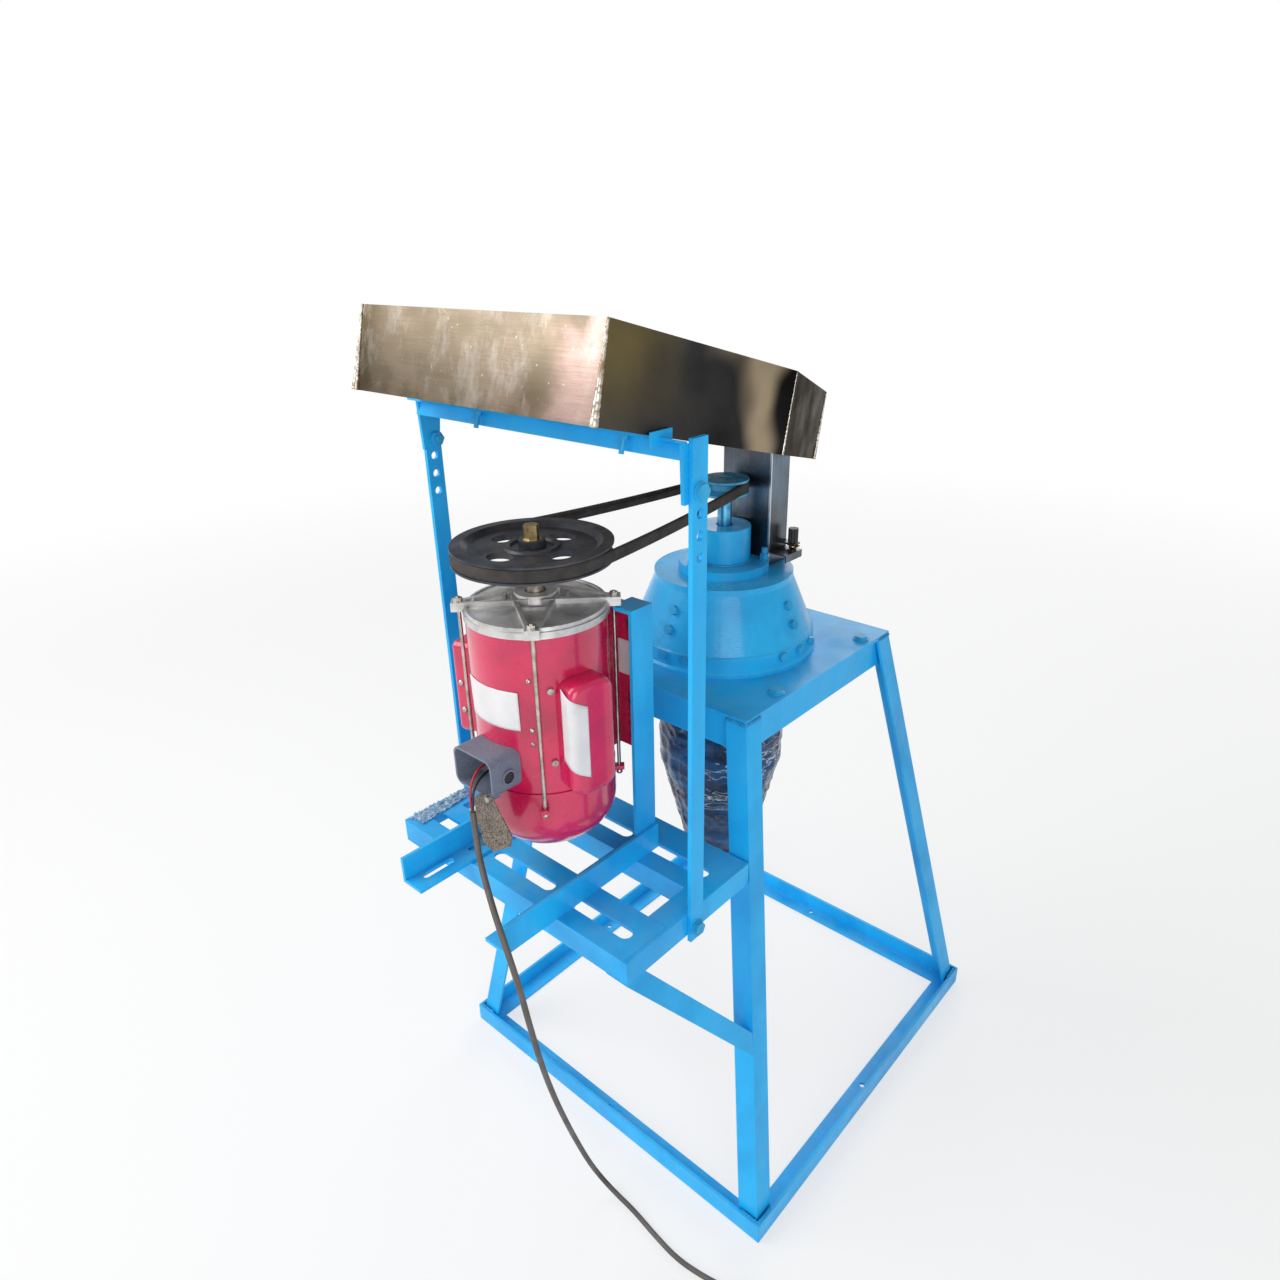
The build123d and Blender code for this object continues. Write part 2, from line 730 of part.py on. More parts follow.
# Knob with its screw through the bracket, pressing on the gate
knob_x = bracket_x + 18
knob_turn_z = gate_z + 9
with BuildPart() as gate_knob:
    with BuildSketch(Plane(origin=(knob_x, bracket_y, gate_z + gate_thick + seat_gap))):
        Circle(3)
    extrude(amount=18)
    with BuildSketch(Plane(origin=(knob_x, bracket_y, knob_turn_z + 3 + seat_gap))):
        Circle(8)
    extrude(amount=23)
    knob_top = knob_turn_z + 3 + seat_gap + 23
    with BuildSketch(Plane(origin=(knob_x, bracket_y, knob_top))):
        with PolarLocations(8.6, 8):
            Circle(1.8)
    extrude(amount=-23, mode=Mode.SUBTRACT)
save(gate_knob.part, "gate_knob")

# Flat-bar uprights with a row of height holes
hole_count = 4
with BuildPart() as uprights:
    for sx in (-1, 1):
        face = Plane(origin=(sx * (platform_half + weld_gap), upright_y, 0), x_dir=(0, sx, 0), z_dir=(sx, 0, 0))
        with BuildSketch(face):
            with Locations((0, (upright_low + upright_high) / 2)):
                Rectangle(upright_wide, upright_high - upright_low)
            rows = [upright_bolt_z - hole_pitch * k for k in range(hole_count)] + [upright_low_bolt_z]
            with Locations(*[(0, z) for z in rows]):
                Circle(upright_bolt_r + bolt_gap, mode=Mode.SUBTRACT)
        extrude(amount=upright_thick)
save(uprights.part, "uprights")

# Cross angle under the tray, its standing leg at the rear, with a leaning lug at each end and a stop tab
lug_x = platform_half
lug_thick = 5.0
lug_low = upright_bolt_z - 13
lug_under = 2.0
lug_reach = ((-18.5, lug_low), (6.5, lug_low), (14.0, None), (-21.5, None))
tab_long = 33.0
tab_ahead = 11.0
tab_high = 16.0
tab_below = 10.0
tab_thick = 3.0
tab_gap = 1.0
heel_y = cross_y + cross_leg * cos(tilt)
with BuildPart() as cross_angle:
    cross_plane = Plane(
        origin=(-lug_x, heel_y, floor_under(heel_y) - seat_gap),
        x_dir=(0, cos(tilt), -sin(tilt)), z_dir=(1, 0, 0),
    )
    with BuildSketch(cross_plane):
        angle_outline(1, 1, cross_leg, cross_leg, cross_wall)
    extrude(amount=2 * lug_x)
    lug_corners = []
    for reach, z in lug_reach:
        y = upright_y + reach
        lug_corners.append((y, floor_under(y) - lug_under if z is None else z))
    for x in (-lug_x, lug_x - lug_thick):
        with BuildSketch(Plane(origin=(x, 0, 0), x_dir=(0, 1, 0), z_dir=(1, 0, 0))):
            Polygon(*lug_corners, align=None)
            with Locations((upright_y, upright_bolt_z)):
                Circle(upright_bolt_r + bolt_gap, mode=Mode.SUBTRACT)
        extrude(amount=lug_thick)
    tab_y = cross_y - tab_ahead + tab_long / 2
    tab_z = floor_under(cross_y) - tab_below + tab_high / 2
    with BuildSketch(Plane(origin=(hopper_half + tab_gap, tab_y, tab_z), x_dir=(0, 1, 0), z_dir=(1, 0, 0))):
        Rectangle(tab_long, tab_high)
    extrude(amount=tab_thick)
    with BuildSketch(tray_plane.offset(-seat_gap)):
        with Locations(*tray_bolt_spots):
            Circle(tray_bolt_r + bolt_gap)
    extrude(amount=-cross_wall, mode=Mode.SUBTRACT)
save(cross_angle.part, "cross_angle")

# Bolts of the uprights and of the tray
with BuildPart() as frame_bolts:
    for sx in (-1, 1):
        for z, grip in ((upright_bolt_z, lug_thick), (upright_low_bolt_z, platform_wall)):
            seat = Plane(
                origin=(sx * (platform_half + weld_gap + upright_thick), upright_y, z),
                x_dir=(0, 1, 0), z_dir=(sx, 0, 0),
            )
            reach = upright_thick + weld_gap + grip
            hex_bolt(seat, 17, 6.5, upright_bolt_r, reach + 12, reach, 8)
    for x, along in tray_bolt_spots:
        middle = tray_plane.offset(sheet).from_local_coords((x, along, 0))
        tray_seat = Plane(origin=middle, x_dir=(1, 0, 0), z_dir=tray_plane.z_dir)
        hex_bolt(tray_seat, 10, 4, tray_bolt_r, 26, sheet + seat_gap + cross_wall, 5)
save(frame_bolts.part, "frame_bolts")

# Skids: slotted angles that slide on the platform and carry the motor
skid_end_slot = 46.0
with BuildPart() as skids:
    for sx in (-1, 1):
        skid_start = (sx * skid_half, skid_front, platform_top)
        with BuildSketch(Plane(origin=skid_start, x_dir=(1, 0, 0), z_dir=(0, 1, 0))):
            with BuildLine():
                Polyline(
                    (0, 0), (-sx * skid_leg, 0), (-sx * skid_leg, -skid_wall), (-sx * skid_wall, -skid_wall),
                    (-sx * skid_wall, -skid_leg), (0, -skid_leg), close=True,
                )
            make_face()
        extrude(amount=skid_rear - skid_front)
    with BuildSketch(Plane.XY.offset(platform_top)):
        for y in (front_slot_y, skid_front + skid_end_slot):
            with Locations((clamp_x, y), (-clamp_x, y)):
                SlotOverall(skid_slot, 2 * clamp_r + 2, rotation=90)
    extrude(amount=skid_wall, mode=Mode.SUBTRACT)
save(skids.part, "skids")

# Posts standing on the skids, closed by a cap with a notch for the tie rod
foot_bolt_r = 5.0
foot_bolt_in = 22.7
post_low = platform_top + skid_wall
post_out = skid_half - skid_wall - weld_gap
post_leg = 35.0
foot_bolt_x = post_out - foot_bolt_in
foot_bolt_zs = (shell_low + 189, shell_low + 77)
rod_side = rod_circle * cos(radians(45))
rod_notch = 2.5
with BuildPart() as posts:
    for sx in (-1, 1):
        with BuildSketch(Plane(origin=(sx * post_out, skid_rear, post_low))):
            angle_outline(sx, 1, post_leg, skid_leg, skid_wall)
        extrude(amount=post_top - post_low)
        with BuildSketch(Plane.XY.offset(post_top)):
            with Locations((sx * (post_out - post_leg / 2), skid_rear - skid_leg / 2)):
                Rectangle(post_leg, skid_leg)
            with Locations((sx * rod_side, motor_y + rod_side)):
                Circle(rod_r + rod_notch, mode=Mode.SUBTRACT)
        extrude(amount=skid_wall)
    for z in foot_bolt_zs:
        with BuildSketch(Plane(origin=(0, foot_y, z), x_dir=(1, 0, 0), z_dir=(0, -1, 0))):
            with Locations((foot_bolt_x, 0), (-foot_bolt_x, 0)):
                Circle(foot_bolt_r + bolt_gap)
        extrude(amount=-skid_wall, mode=Mode.SUBTRACT)
save(posts.part, "posts")

# Motor shell with its two foot strips
foot_thick = 5.0
foot_in = 46.0
foot_out = post_out - skid_wall - bolt_gap
foot_low = shell_low + 1
foot_high = shell_high - 1
foot_web = 4.0
web_y = motor_y + sqrt(shell_r ** 2 - (foot_in + foot_web) ** 2) - 2
with BuildPart() as motor_shell:
    with BuildSketch(Plane(origin=(0, motor_y, shell_low))):
        Circle(shell_r)
        Circle(shell_r - shell_wall, mode=Mode.SUBTRACT)
    extrude(amount=shell_high - shell_low)
    with BuildSketch(Plane.XY.offset(foot_low)):
        for sx in (-1, 1):
            with Locations((sx * (foot_in + foot_out) / 2, foot_y - foot_thick / 2)):
                Rectangle(foot_out - foot_in, foot_thick)
            with Locations((sx * (foot_in + foot_web / 2), (web_y + foot_y - foot_thick) / 2)):
                Rectangle(foot_web, foot_y - foot_thick - web_y)
    extrude(amount=foot_high - foot_low)
    for z in foot_bolt_zs:
        with BuildSketch(Plane(origin=(0, foot_y, z), x_dir=(1, 0, 0), z_dir=(0, -1, 0))):
            with Locations((foot_bolt_x, 0), (-foot_bolt_x, 0)):
                Circle(foot_bolt_r + bolt_gap)
        extrude(amount=foot_thick, mode=Mode.SUBTRACT)
save(motor_shell.part, "motor_shell")

# Bolts through the motor's feet into the posts
with BuildPart() as foot_bolts:
    for z in foot_bolt_zs:
        for x in (foot_bolt_x, -foot_bolt_x):
            seat = Plane(origin=(x, foot_y - foot_thick, z), x_dir=(1, 0, 0), z_dir=(0, -1, 0))
            hex_bolt(seat, 16, 7, foot_bolt_r, foot_thick + skid_wall + 12, foot_thick + skid_wall, 8)
save(foot_bolts.part, "foot_bolts")

# Bolts that clamp the skids through the front slots of the platform
clamp_grip = skid_wall + platform_wall + 2 * seat_gap
with BuildPart() as clamp_bolts:
    for x in (clamp_x, -clamp_x):
        seat = Plane(origin=(x, front_slot_y, platform_top + skid_wall + 2 * seat_gap))
        hex_bolt(seat, 16, 7, clamp_r, clamp_grip + 14, clamp_grip + seat_gap, 8)
save(clamp_bolts.part, "clamp_bolts")

# End bell: aluminium dish with four lugs, a boss and V ribs that stand proud of the dish
rod_turns = (45, 135, 225, 315)
boss_r = 27.0
boss_top = bell_high + 13
bell_r = shell_r + 2
bell_bore = motor_shaft_r + 1.5
rib_thick = 5.0
rib_from = Vector(8, boss_r + 1)
rib_to = Vector(rod_circle, 4.5)
rib_end = rod_circle - rod_lug + 2
rib_tops = (bell_high + 11, bell_high + 2)
rib_lows = (bell_high, bell_high - 7)
rib_bars = ((40.0, bell_high - 1, bell_high + 5.5), (rib_end - 11, bell_high - 6.5, bell_high + 1.5))
bar_thick = 4.0


# How far from the arm's middle a rib stands at a distance along the arm
def rib_side(along):
    share = (along - rib_from.X) / (rib_to.X - rib_from.X)
    return rib_from.Y + (rib_to.Y - rib_from.Y) * share


with BuildPart() as end_bell:
    with BuildSketch(motor_plane):
        turned((
            (bell_bore, boss_top), (boss_r, boss_top), (boss_r + 3, bell_high + 3), (shell_r - 5, bell_high - 4),
            (shell_r - 4, bell_high - 2), (shell_r - 1, bell_high - 2), (shell_r - 0.5, bell_high - 6.5),
            (bell_r, bell_high - 7), (bell_r, shell_high + seat_gap), (shell_r - 8, shell_high + seat_gap),
            (shell_r - 10, bell_high - 11), (boss_r + 3, bell_high - 2), (bell_bore, bell_high - 2),
        ))
    revolve(axis=motor_axis)
    for turn in rod_turns:
        out = Vector(1, 0, 0).rotate(Axis.Z, turn)
        side = Vector(0, 1, 0).rotate(Axis.Z, turn)
        for across in (-1, 1):
            near = Vector(0, motor_y, 0) + out * rib_from.X + side * (across * rib_from.Y)
            far = Vector(0, motor_y, 0) + out * rib_end + side * (across * rib_side(rib_end))
            along = (far - near).normalized()
            rib_long = (far - near).length
            with BuildSketch(Plane(origin=near, x_dir=along, z_dir=along.cross(Vector(0, 0, 1)))):
                Polygon(
                    (0, rib_lows[0]), (0, rib_tops[0]), (rib_long, rib_tops[1]), (rib_long, rib_lows[1]), align=None
                )
            extrude(amount=rib_thick / 2, both=True)
        for reach, low, high in rib_bars:
            with BuildSketch(Plane(origin=(0, motor_y, low), x_dir=out, z_dir=(0, 0, 1))):
                with Locations((reach, 0)):
                    Rectangle(bar_thick, 2 * rib_side(reach))
            extrude(amount=high - low)
        with BuildSketch(Plane(origin=(0, motor_y, bell_high - 10), x_dir=out, z_dir=(0, 0, 1))):
            with Locations((rod_circle, 0)):
                Rectangle(2 * rod_lug, 2 * rod_lug)
        extrude(amount=12)
        with BuildSketch(Plane(origin=(0, motor_y, bell_high + 2), x_dir=out, z_dir=(0, 0, 1))):
            with Locations((rod_circle, 0)):
                Circle(rod_r + fit_gap)
        extrude(amount=-16, mode=Mode.SUBTRACT)
    with BuildSketch(Plane(origin=(0, motor_y, bell_high - 3))):
        Circle(bell_bore)
    extrude(amount=boss_top - bell_high + 6, mode=Mode.SUBTRACT)
save(end_bell.part, "end_bell")

# Domed fan cover under the shell, a little wider than it
fan_cover_r = shell_r + 2
fan_cover_wall = 3.0
dome_side_low = shell_low - 47
with BuildPart() as fan_cover:
    with BuildSketch(motor_plane):
        with BuildLine():
            inner_r = fan_cover_r - fan_cover_wall
            Line((fan_cover_r, dome_side_low), (fan_cover_r, shell_low - seat_gap))
            Line((fan_cover_r, shell_low - seat_gap), (inner_r, shell_low - seat_gap))
            Line((inner_r, shell_low - seat_gap), (inner_r, dome_side_low))
            Spline(
                (inner_r, dome_side_low), (inner_r - 11, dome_low + 33), (0, dome_low + fan_cover_wall),
                tangents=((0, -1), (-1, 0)),
            )
            Line((0, dome_low + fan_cover_wall), (0, dome_low))
            Spline(
                (0, dome_low), (fan_cover_r - 11.5, dome_low + 30.5), (fan_cover_r, dome_side_low),
                tangents=((1, 0), (0, 1)),
            )
        make_face()
    revolve(axis=motor_axis)
    for turn in rod_turns:
        out = Vector(1, 0, 0).rotate(Axis.Z, turn)
        spot = Vector(0, motor_y, rod_low + 4) + out * (rod_circle - 1)
        with BuildSketch(Plane(origin=spot, x_dir=out, z_dir=(0, 0, 1))):
            Rectangle(16, 10)
            with Locations((1, 0)):
                Circle(rod_r + fit_gap, mode=Mode.SUBTRACT)
        extrude(amount=6)
save(fan_cover.part, "fan_cover")

# Four long tie rods with a nut above and a ball nut below
with BuildPart() as tie_rods:
    for turn in rod_turns:
        x = rod_circle * cos(radians(turn))
        y = motor_y + rod_circle * sin(radians(turn))
        with BuildSketch(Plane(origin=(x, y, rod_low))):
            Circle(rod_r)
        extrude(amount=bell_high + 8 - rod_low)
        with BuildSketch(Plane(origin=(x, y, bell_high + 2))):
            RegularPolygon(5, 6, major_radius=False)
        extrude(amount=4.5)
        with Locations((x, y, rod_low)):
            Sphere(4.6)
save(tie_rods.part, "tie_rods")


# A rounded cover standing off the shell, named by its turn about the motor
def shell_cover(turn, wide, low, high, reach, corner):
    with BuildPart() as cover:
        out = Vector(1, 0, 0).rotate(Axis.Z, turn)
        side = Vector(0, 1, 0).rotate(Axis.Z, turn)
        near = shell_r - 22
        middle = Vector(0, motor_y, (low + high) / 2) + out * near
        with BuildSketch(Plane(origin=middle, x_dir=side, z_dir=out)):
            RectangleRounded(wide, high - low, corner)
        extrude(amount=reach - near)
        fillet(cover.faces().sort_by(Axis((0, motor_y, 0), out))[-1].edges(), min(corner * 0.6, 10))
        with BuildSketch(Plane(origin=(0, motor_y, low - 5))):
            Circle(shell_r + seat_gap)
        extrude(amount=high - low + 10, mode=Mode.SUBTRACT)
    return cover.part


run_turn = -10.0
run_wide = 66.0
run_low = shell_low + 3
run_high = run_low + 158
run_reach = shell_r + 28
start_turn = 196.0
start_wide = 50.0
start_low = shell_low + 26
start_high = start_low + 135
start_reach = shell_r + 33
save(shell_cover(run_turn, run_wide, run_low, run_high, run_reach, 20), "run_capacitor_cover")
save(shell_cover(start_turn, start_wide, start_low, start_high, start_reach, 9), "start_capacitor_cover")

# Open terminal box standing off the shell towards -Y
box_x = 5.0
box_wide = 74.0
box_deep = 37.0
box_high = 55.0
box_low = shell_low + 11
box_wall = 3.0
box_corner = 12.0
box_front = motor_y - shell_r - box_deep
box_floor_y = motor_y - shell_r - 3
gland_r = 8.0
gland_wall = 3.0
gland_back = 26.0
gland_down = 4.0
lid_inset = 6.0
lid_up = 4.0
lid_boss_r = 5.0
box_middle = box_low + box_high / 2
box_mouth = Plane(origin=(box_x, box_front, box_middle), x_dir=(1, 0, 0), z_dir=(0, -1, 0))
box_side = box_x + box_wide / 2
gland_spot = (box_side, box_front + gland_back, box_middle - gland_down)
gland_plane = Plane(origin=gland_spot, x_dir=(0, 1, 0), z_dir=(1, 0, 0))
with BuildPart() as terminal_box:
    with BuildSketch(box_mouth):
        RectangleRounded(box_wide, box_high, box_corner)
    extrude(amount=box_front - motor_y)
    with BuildSketch(box_mouth):
        RectangleRounded(box_wide - 2 * box_wall, box_high - 2 * box_wall, box_corner - box_wall)
    extrude(amount=box_front - box_floor_y, mode=Mode.SUBTRACT)
    with BuildSketch(Plane(origin=(0, motor_y, box_low - 5))):
        Circle(shell_r + seat_gap)
    extrude(amount=box_high + 10, mode=Mode.SUBTRACT)
    with BuildSketch(gland_plane.offset(1)):
        Circle(gland_r)
    extrude(amount=-box_wall - 4, mode=Mode.SUBTRACT)
    with BuildSketch(gland_plane.offset(-1)):
        Circle(gland_r + gland_wall)
        Circle(gland_r, mode=Mode.SUBTRACT)
    extrude(amount=3)
    with BuildSketch(box_mouth):
        with Locations((box_wide / 2 - lid_inset, lid_up - box_high / 2)):
            Circle(lid_boss_r)
    extrude(amount=-12)
save(terminal_box.part, "terminal_box")

# The box's lid hangs from one screw, clear of the box's mouth
lid_x = box_side - lid_inset
lid_z = box_low + lid_up
lid_thick = 2.5
lid_near = box_front - seat_gap
lid_plane = Plane(origin=(lid_x, lid_near, lid_z), x_dir=(1, 0, 0), z_dir=(0, -1, 0))
lid_corners = ((-29, -7), (3, 6), (38, -40), (33, -57), (-2, -82), (-20, -78), (-32, -40))
lid_corner_r = 9.0
lid_hole_r = 2.6
with BuildPart() as terminal_cover:
    with BuildSketch(lid_plane) as lid_outline:
        Polygon(*lid_corners, align=None)
        fillet(lid_outline.vertices(), lid_corner_r)
        Circle(lid_hole_r, mode=Mode.SUBTRACT)
    extrude(amount=lid_thick)
save(terminal_cover.part, "terminal_cover")

# Screws beside the two covers, and the screw that holds the lid
screw_r = 4.2
screw_head = 3.5
screw_clear = 1.5


# Turn of a screw just past the edge of a cover
def beside(turn, wide, way):
    return turn + way * degrees(asin(wide / 2 / shell_r) + (screw_r + screw_clear) / shell_r)


run_screw_turn = beside(run_turn, run_wide, -1)
start_screw_turn = beside(start_turn, start_wide, 1)
case_screw_spots = (
    (run_screw_turn, shell_low + 147), (run_screw_turn, shell_low + 46),
    (start_screw_turn, shell_low + 110), (start_screw_turn, shell_low + 68),
)
with BuildPart() as case_screws:
    for turn, z in case_screw_spots:
        out = Vector(1, 0, 0).rotate(Axis.Z, turn)
        with BuildSketch(Plane(origin=Vector(0, motor_y, z) + out * (shell_r + seat_gap), z_dir=out)):
            Circle(screw_r)
        extrude(amount=screw_head)
    with BuildSketch(lid_plane):
        Circle(lid_hole_r - fit_gap)
    extrude(amount=lid_thick + seat_gap)
    with BuildSketch(lid_plane.offset(lid_thick + seat_gap)):
        Circle(screw_r)
    extrude(amount=screw_head)
save(case_screws.part, "case_screws")

# Blank nameplate on the foot strip
label_wide = 20.0
label_high = 50.0
label_thick = 1.2
label_spot = (foot_in + foot_web + label_wide / 2 + 1, foot_y - foot_thick - seat_gap, shell_low + 136)
with BuildPart() as nameplate:
    with BuildSketch(Plane(origin=label_spot, x_dir=(1, 0, 0), z_dir=(0, -1, 0))):
        RectangleRounded(label_wide, label_high, 1.5)
    extrude(amount=label_thick)
save(nameplate.part, "nameplate")

# Stator with its windings, pressed in the shell
stator_low = shell_low + 46
stator_high = shell_low + 161
bore_r = shell_r - 33
core_r = shell_r - shell_wall - seat_gap
winding_in = 4.0
winding_out = 22.0
winding_over = 18.0
with BuildPart() as stator_core:
    with BuildSketch(Plane(origin=(0, motor_y, stator_low))):
        Circle(core_r)
        Circle(bore_r, mode=Mode.SUBTRACT)
    extrude(amount=stator_high - stator_low)
    with BuildSketch(Plane(origin=(0, motor_y, stator_low - winding_over))):
        Circle(bore_r + winding_out)
        Circle(bore_r + winding_in, mode=Mode.SUBTRACT)
    extrude(amount=stator_high - stator_low + 2 * winding_over)
save(stator_core.part, "stator_core")

# Lower end shield inside the shell, carrying the lower bearing
motor_bearing_r = 23.5
motor_bearing_wide = 14.0
shield_low = shell_low + 2
shield_wall = 6.0
cup_floor = shield_low + 5
cup_top = cup_floor + motor_bearing_wide
with BuildPart() as lower_shield:
    with BuildSketch(motor_plane):
        turned((
            (motor_shaft_r + 2, shield_low), (core_r, shield_low), (core_r, shield_low + shield_wall),
            (motor_bearing_r + 7, shield_low + shield_wall), (motor_bearing_r + 7, cup_top),
            (motor_bearing_r, cup_top), (motor_bearing_r, cup_floor), (motor_shaft_r + 2, cup_floor),
        ))
    revolve(axis=motor_axis)
save(lower_shield.part, "lower_shield")

upper_bearing_low = bell_high - 2 - seat_gap - motor_bearing_wide
with BuildPart() as motor_bearings:
    for z in (cup_floor + seat_gap, upper_bearing_low):
        with BuildSketch(Plane(origin=(0, motor_y, z))):
            Circle(motor_bearing_r - fit_gap)
            Circle(motor_shaft_r + fit_gap, mode=Mode.SUBTRACT)
        extrude(amount=motor_bearing_wide)
save(motor_bearings.part, "motor_bearings")

# Motor shaft, rotor and fan
hub_reach = 14.0
shaft_low = shell_low - 69
shaft_high = belt_z + hub_reach
motor_bore = motor_shaft_r + fit_gap
with BuildPart() as motor_shaft:
    with BuildSketch(Plane(origin=(0, motor_y, shaft_low))):
        Circle(motor_shaft_r)
    extrude(amount=shaft_high - shaft_low)
save(motor_shaft.part, "motor_shaft")

end_flat = 17.0
end_high = 18.0
with BuildPart() as shaft_end:
    with BuildSketch(Plane(origin=(0, motor_y, shaft_high))):
        RegularPolygon(end_flat / 2, 6, major_radius=False)
    extrude(amount=end_high)
save(shaft_end.part, "shaft_end")

air_gap = 0.5
rotor_over = 4.0
with BuildPart() as motor_rotor:
    with BuildSketch(Plane(origin=(0, motor_y, stator_low - rotor_over))):
        Circle(bore_r - air_gap)
        Circle(motor_bore, mode=Mode.SUBTRACT)
    extrude(amount=stator_high - stator_low + 2 * rotor_over)
save(motor_rotor.part, "motor_rotor")

fan_low = shell_low - 53
fan_high = fan_low + 28
fan_r = shell_r - 25
fan_hub_r = 20.0
fan_disc = 3.0
blade_long = 46.0
with BuildPart() as cooling_fan:
    with BuildSketch(motor_plane):
        turned((
            (motor_bore, fan_low), (fan_hub_r, fan_low), (fan_hub_r, fan_high - fan_disc),
            (fan_r, fan_high - fan_disc), (fan_r, fan_high), (motor_bore, fan_high),
        ))
    revolve(axis=motor_axis)
    for k in range(8):
        out = Vector(1, 0, 0).rotate(Axis.Z, 45 * k)
        with BuildSketch(Plane(origin=(0, motor_y, fan_low), x_dir=out, z_dir=(0, 0, 1))):
            with Locations((fan_r - blade_long / 2 - 1, 0)):
                Rectangle(blade_long, 3)
        extrude(amount=fan_high - fan_low)
save(cooling_fan.part, "cooling_fan")

# Large cast pulley: tapered inside its rim, a web with four kidney openings, a raised ring and a hub
web_half = 4.0
web_out = 80.0
rim_in = 88.0
ring_in = 27.0
ring_out = 35.0
ring_high = 3.0
upper_hub_r = 17.0
lower_hub_r = 24.0
kidney_middle = 52.0
kidney_half = 15.0
kidney_side = 18.0
with BuildPart() as motor_pulley:
    with BuildSketch(motor_plane):
        half = motor_rim / 2
        web_top = belt_z + web_half
        turned([
            (motor_bore, belt_z - hub_reach), (lower_hub_r, belt_z - hub_reach), (lower_hub_r, belt_z - web_half),
            (web_out, belt_z - web_half), (rim_in, belt_z - half), (motor_pulley_r, belt_z - half),
            *groove_points(motor_pulley_r),
            (motor_pulley_r, belt_z + half), (rim_in, belt_z + half), (web_out, web_top),
            (ring_out + 1, web_top), (ring_out - 1, web_top + ring_high), (ring_in + 1, web_top + ring_high),
            (ring_in - 1, web_top), (upper_hub_r, web_top), (upper_hub_r, belt_z + hub_reach),
            (motor_bore, belt_z + hub_reach),
        ])
    revolve(axis=motor_axis)
    with BuildSketch(Plane(origin=(0, motor_y, belt_z - motor_rim / 2))):
        with PolarLocations(kidney_middle, 4):
            Ellipse(kidney_half, kidney_side)
    extrude(amount=motor_rim, mode=Mode.SUBTRACT)
save(motor_pulley.part, "motor_pulley")


# A cord's path: straight runs joined by arcs as large as the two runs at each point allow
def cord_path(points):
    radii = []
    for before, here, after in zip(points, points[1:], points[2:]):
        came = Vector(*here) - Vector(*before)
        goes = Vector(*after) - Vector(*here)
        turn = radians(came.get_angle(goes))
        radii.append(0.45 * min(came.length, goes.length) / tan(turn / 2))
    print("cord bend radii", [round(r) for r in radii])
    return radii


def tube(points, r):
    with BuildPart() as cord:
        with BuildLine() as route:
            FilletPolyline(*points, radius=cord_path(points))
        start = Plane(origin=route.wires()[0] @ 0, z_dir=route.wires()[0] % 0)
        with BuildSketch(start):
            Circle(r)
        sweep(path=route.wires()[0])
    length = route.wires()[0].length
    print("cord length", round(length), "volume ratio", round(cord.part.volume / (pi * r * r * length), 4))
    return cord.part


# Bare wires from the terminals to where the sheath starts
lead_points = ((4, -512.4, 806), (7, -535, 808), (11, -553, 800), (15, -561, 783), (19, -563, 764.2))
lead_r = 3.0
save(tube(lead_points, lead_r), "lead_wires")

# Sheathed cable: over the skid's end, down to the floor and along it to the coil
floor_line = floor_z + cord_r + 0.1
coil_x = 402.0
coil_y = -482.0
coil_out = coil_mean_r + coil_wide / 2
cord_meet = sqrt(coil_out ** 2 - (coil_mean_r - cord_r) ** 2) + seat_gap
cord_points = (
    (19, -563, 764), (24.4, -565.7, 738.3), (42, -577, 713), (76, -594, 693), (110, -610, 676), (136, -618, 648),
    (148, -615, 598), (143, -601, 520), (129, -577, 420), (113, -547, 318), (98, -514, 218), (88, -484, 130),
    (85, -462, 66), (93, -447, 24), (117, -441, floor_line), (160, -443, floor_line), (208, -450, floor_line),
    (258, -455, floor_line), (302, -449, floor_line), (337, -440, floor_line),
    (coil_x - cord_meet, coil_y + coil_mean_r, floor_line),
)
save(tube(cord_points, cord_r), "power_cord")

# The stored length, wound as a round coil on the floor
with BuildPart() as cord_coil:
    with BuildSketch(Plane(origin=(coil_x, coil_y, floor_z + 0.1))):
        Circle(coil_out)
        Circle(coil_mean_r - coil_wide / 2, mode=Mode.SUBTRACT)
    extrude(amount=coil_high)
    fillet(cord_coil.edges().filter_by(GeomType.CIRCLE), 3.5)
save(cord_coil.part, "cord_coil")

# Three-pin plug lying beside the coil, its tail against the coil's side
plug_long = 46.0
plug_wide = 42.0
plug_high = 26.0
plug_tail = 24.0
tail_r = cord_r + 1.2
tail_meet = sqrt(coil_out ** 2 - (coil_mean_r - tail_r) ** 2) + seat_gap
plug_x = coil_x - tail_meet - plug_tail - plug_long / 2
plug_y = coil_y - coil_mean_r
plug_pins = ((-10, -5, 3.5, 16), (10, -5, 3.5, 16), (0, 7, 4.3, 21))
plug_middle = floor_z + 0.1 + plug_high / 2


# A section across the plug, looking along +X
def plug_section(x, z):
    return Plane(origin=(x, plug_y, z), x_dir=(0, 1, 0), z_dir=(1, 0, 0))


with BuildPart() as mains_plug:
    with BuildSketch(plug_section(plug_x - plug_long / 2, plug_middle)):
        RectangleRounded(plug_wide, plug_high, 8)
    with BuildSketch(plug_section(plug_x + plug_long / 2, plug_middle)):
        RectangleRounded(plug_wide * 0.62, plug_high * 0.8, 7)
    loft()
    with BuildSketch(plug_section(plug_x + plug_long / 2, plug_middle - 2)):
        Circle(7)
    with BuildSketch(plug_section(plug_x + plug_long / 2 + plug_tail, floor_z + 10)):
        Circle(tail_r)
    loft()
    for y, z, r, reach in plug_pins:
        with BuildSketch(plug_section(plug_x - plug_long / 2, plug_middle + z)):
            with Locations((y, 0)):
                Circle(r)
        extrude(amount=-reach)
save(mains_plug.part, "mains_plug")
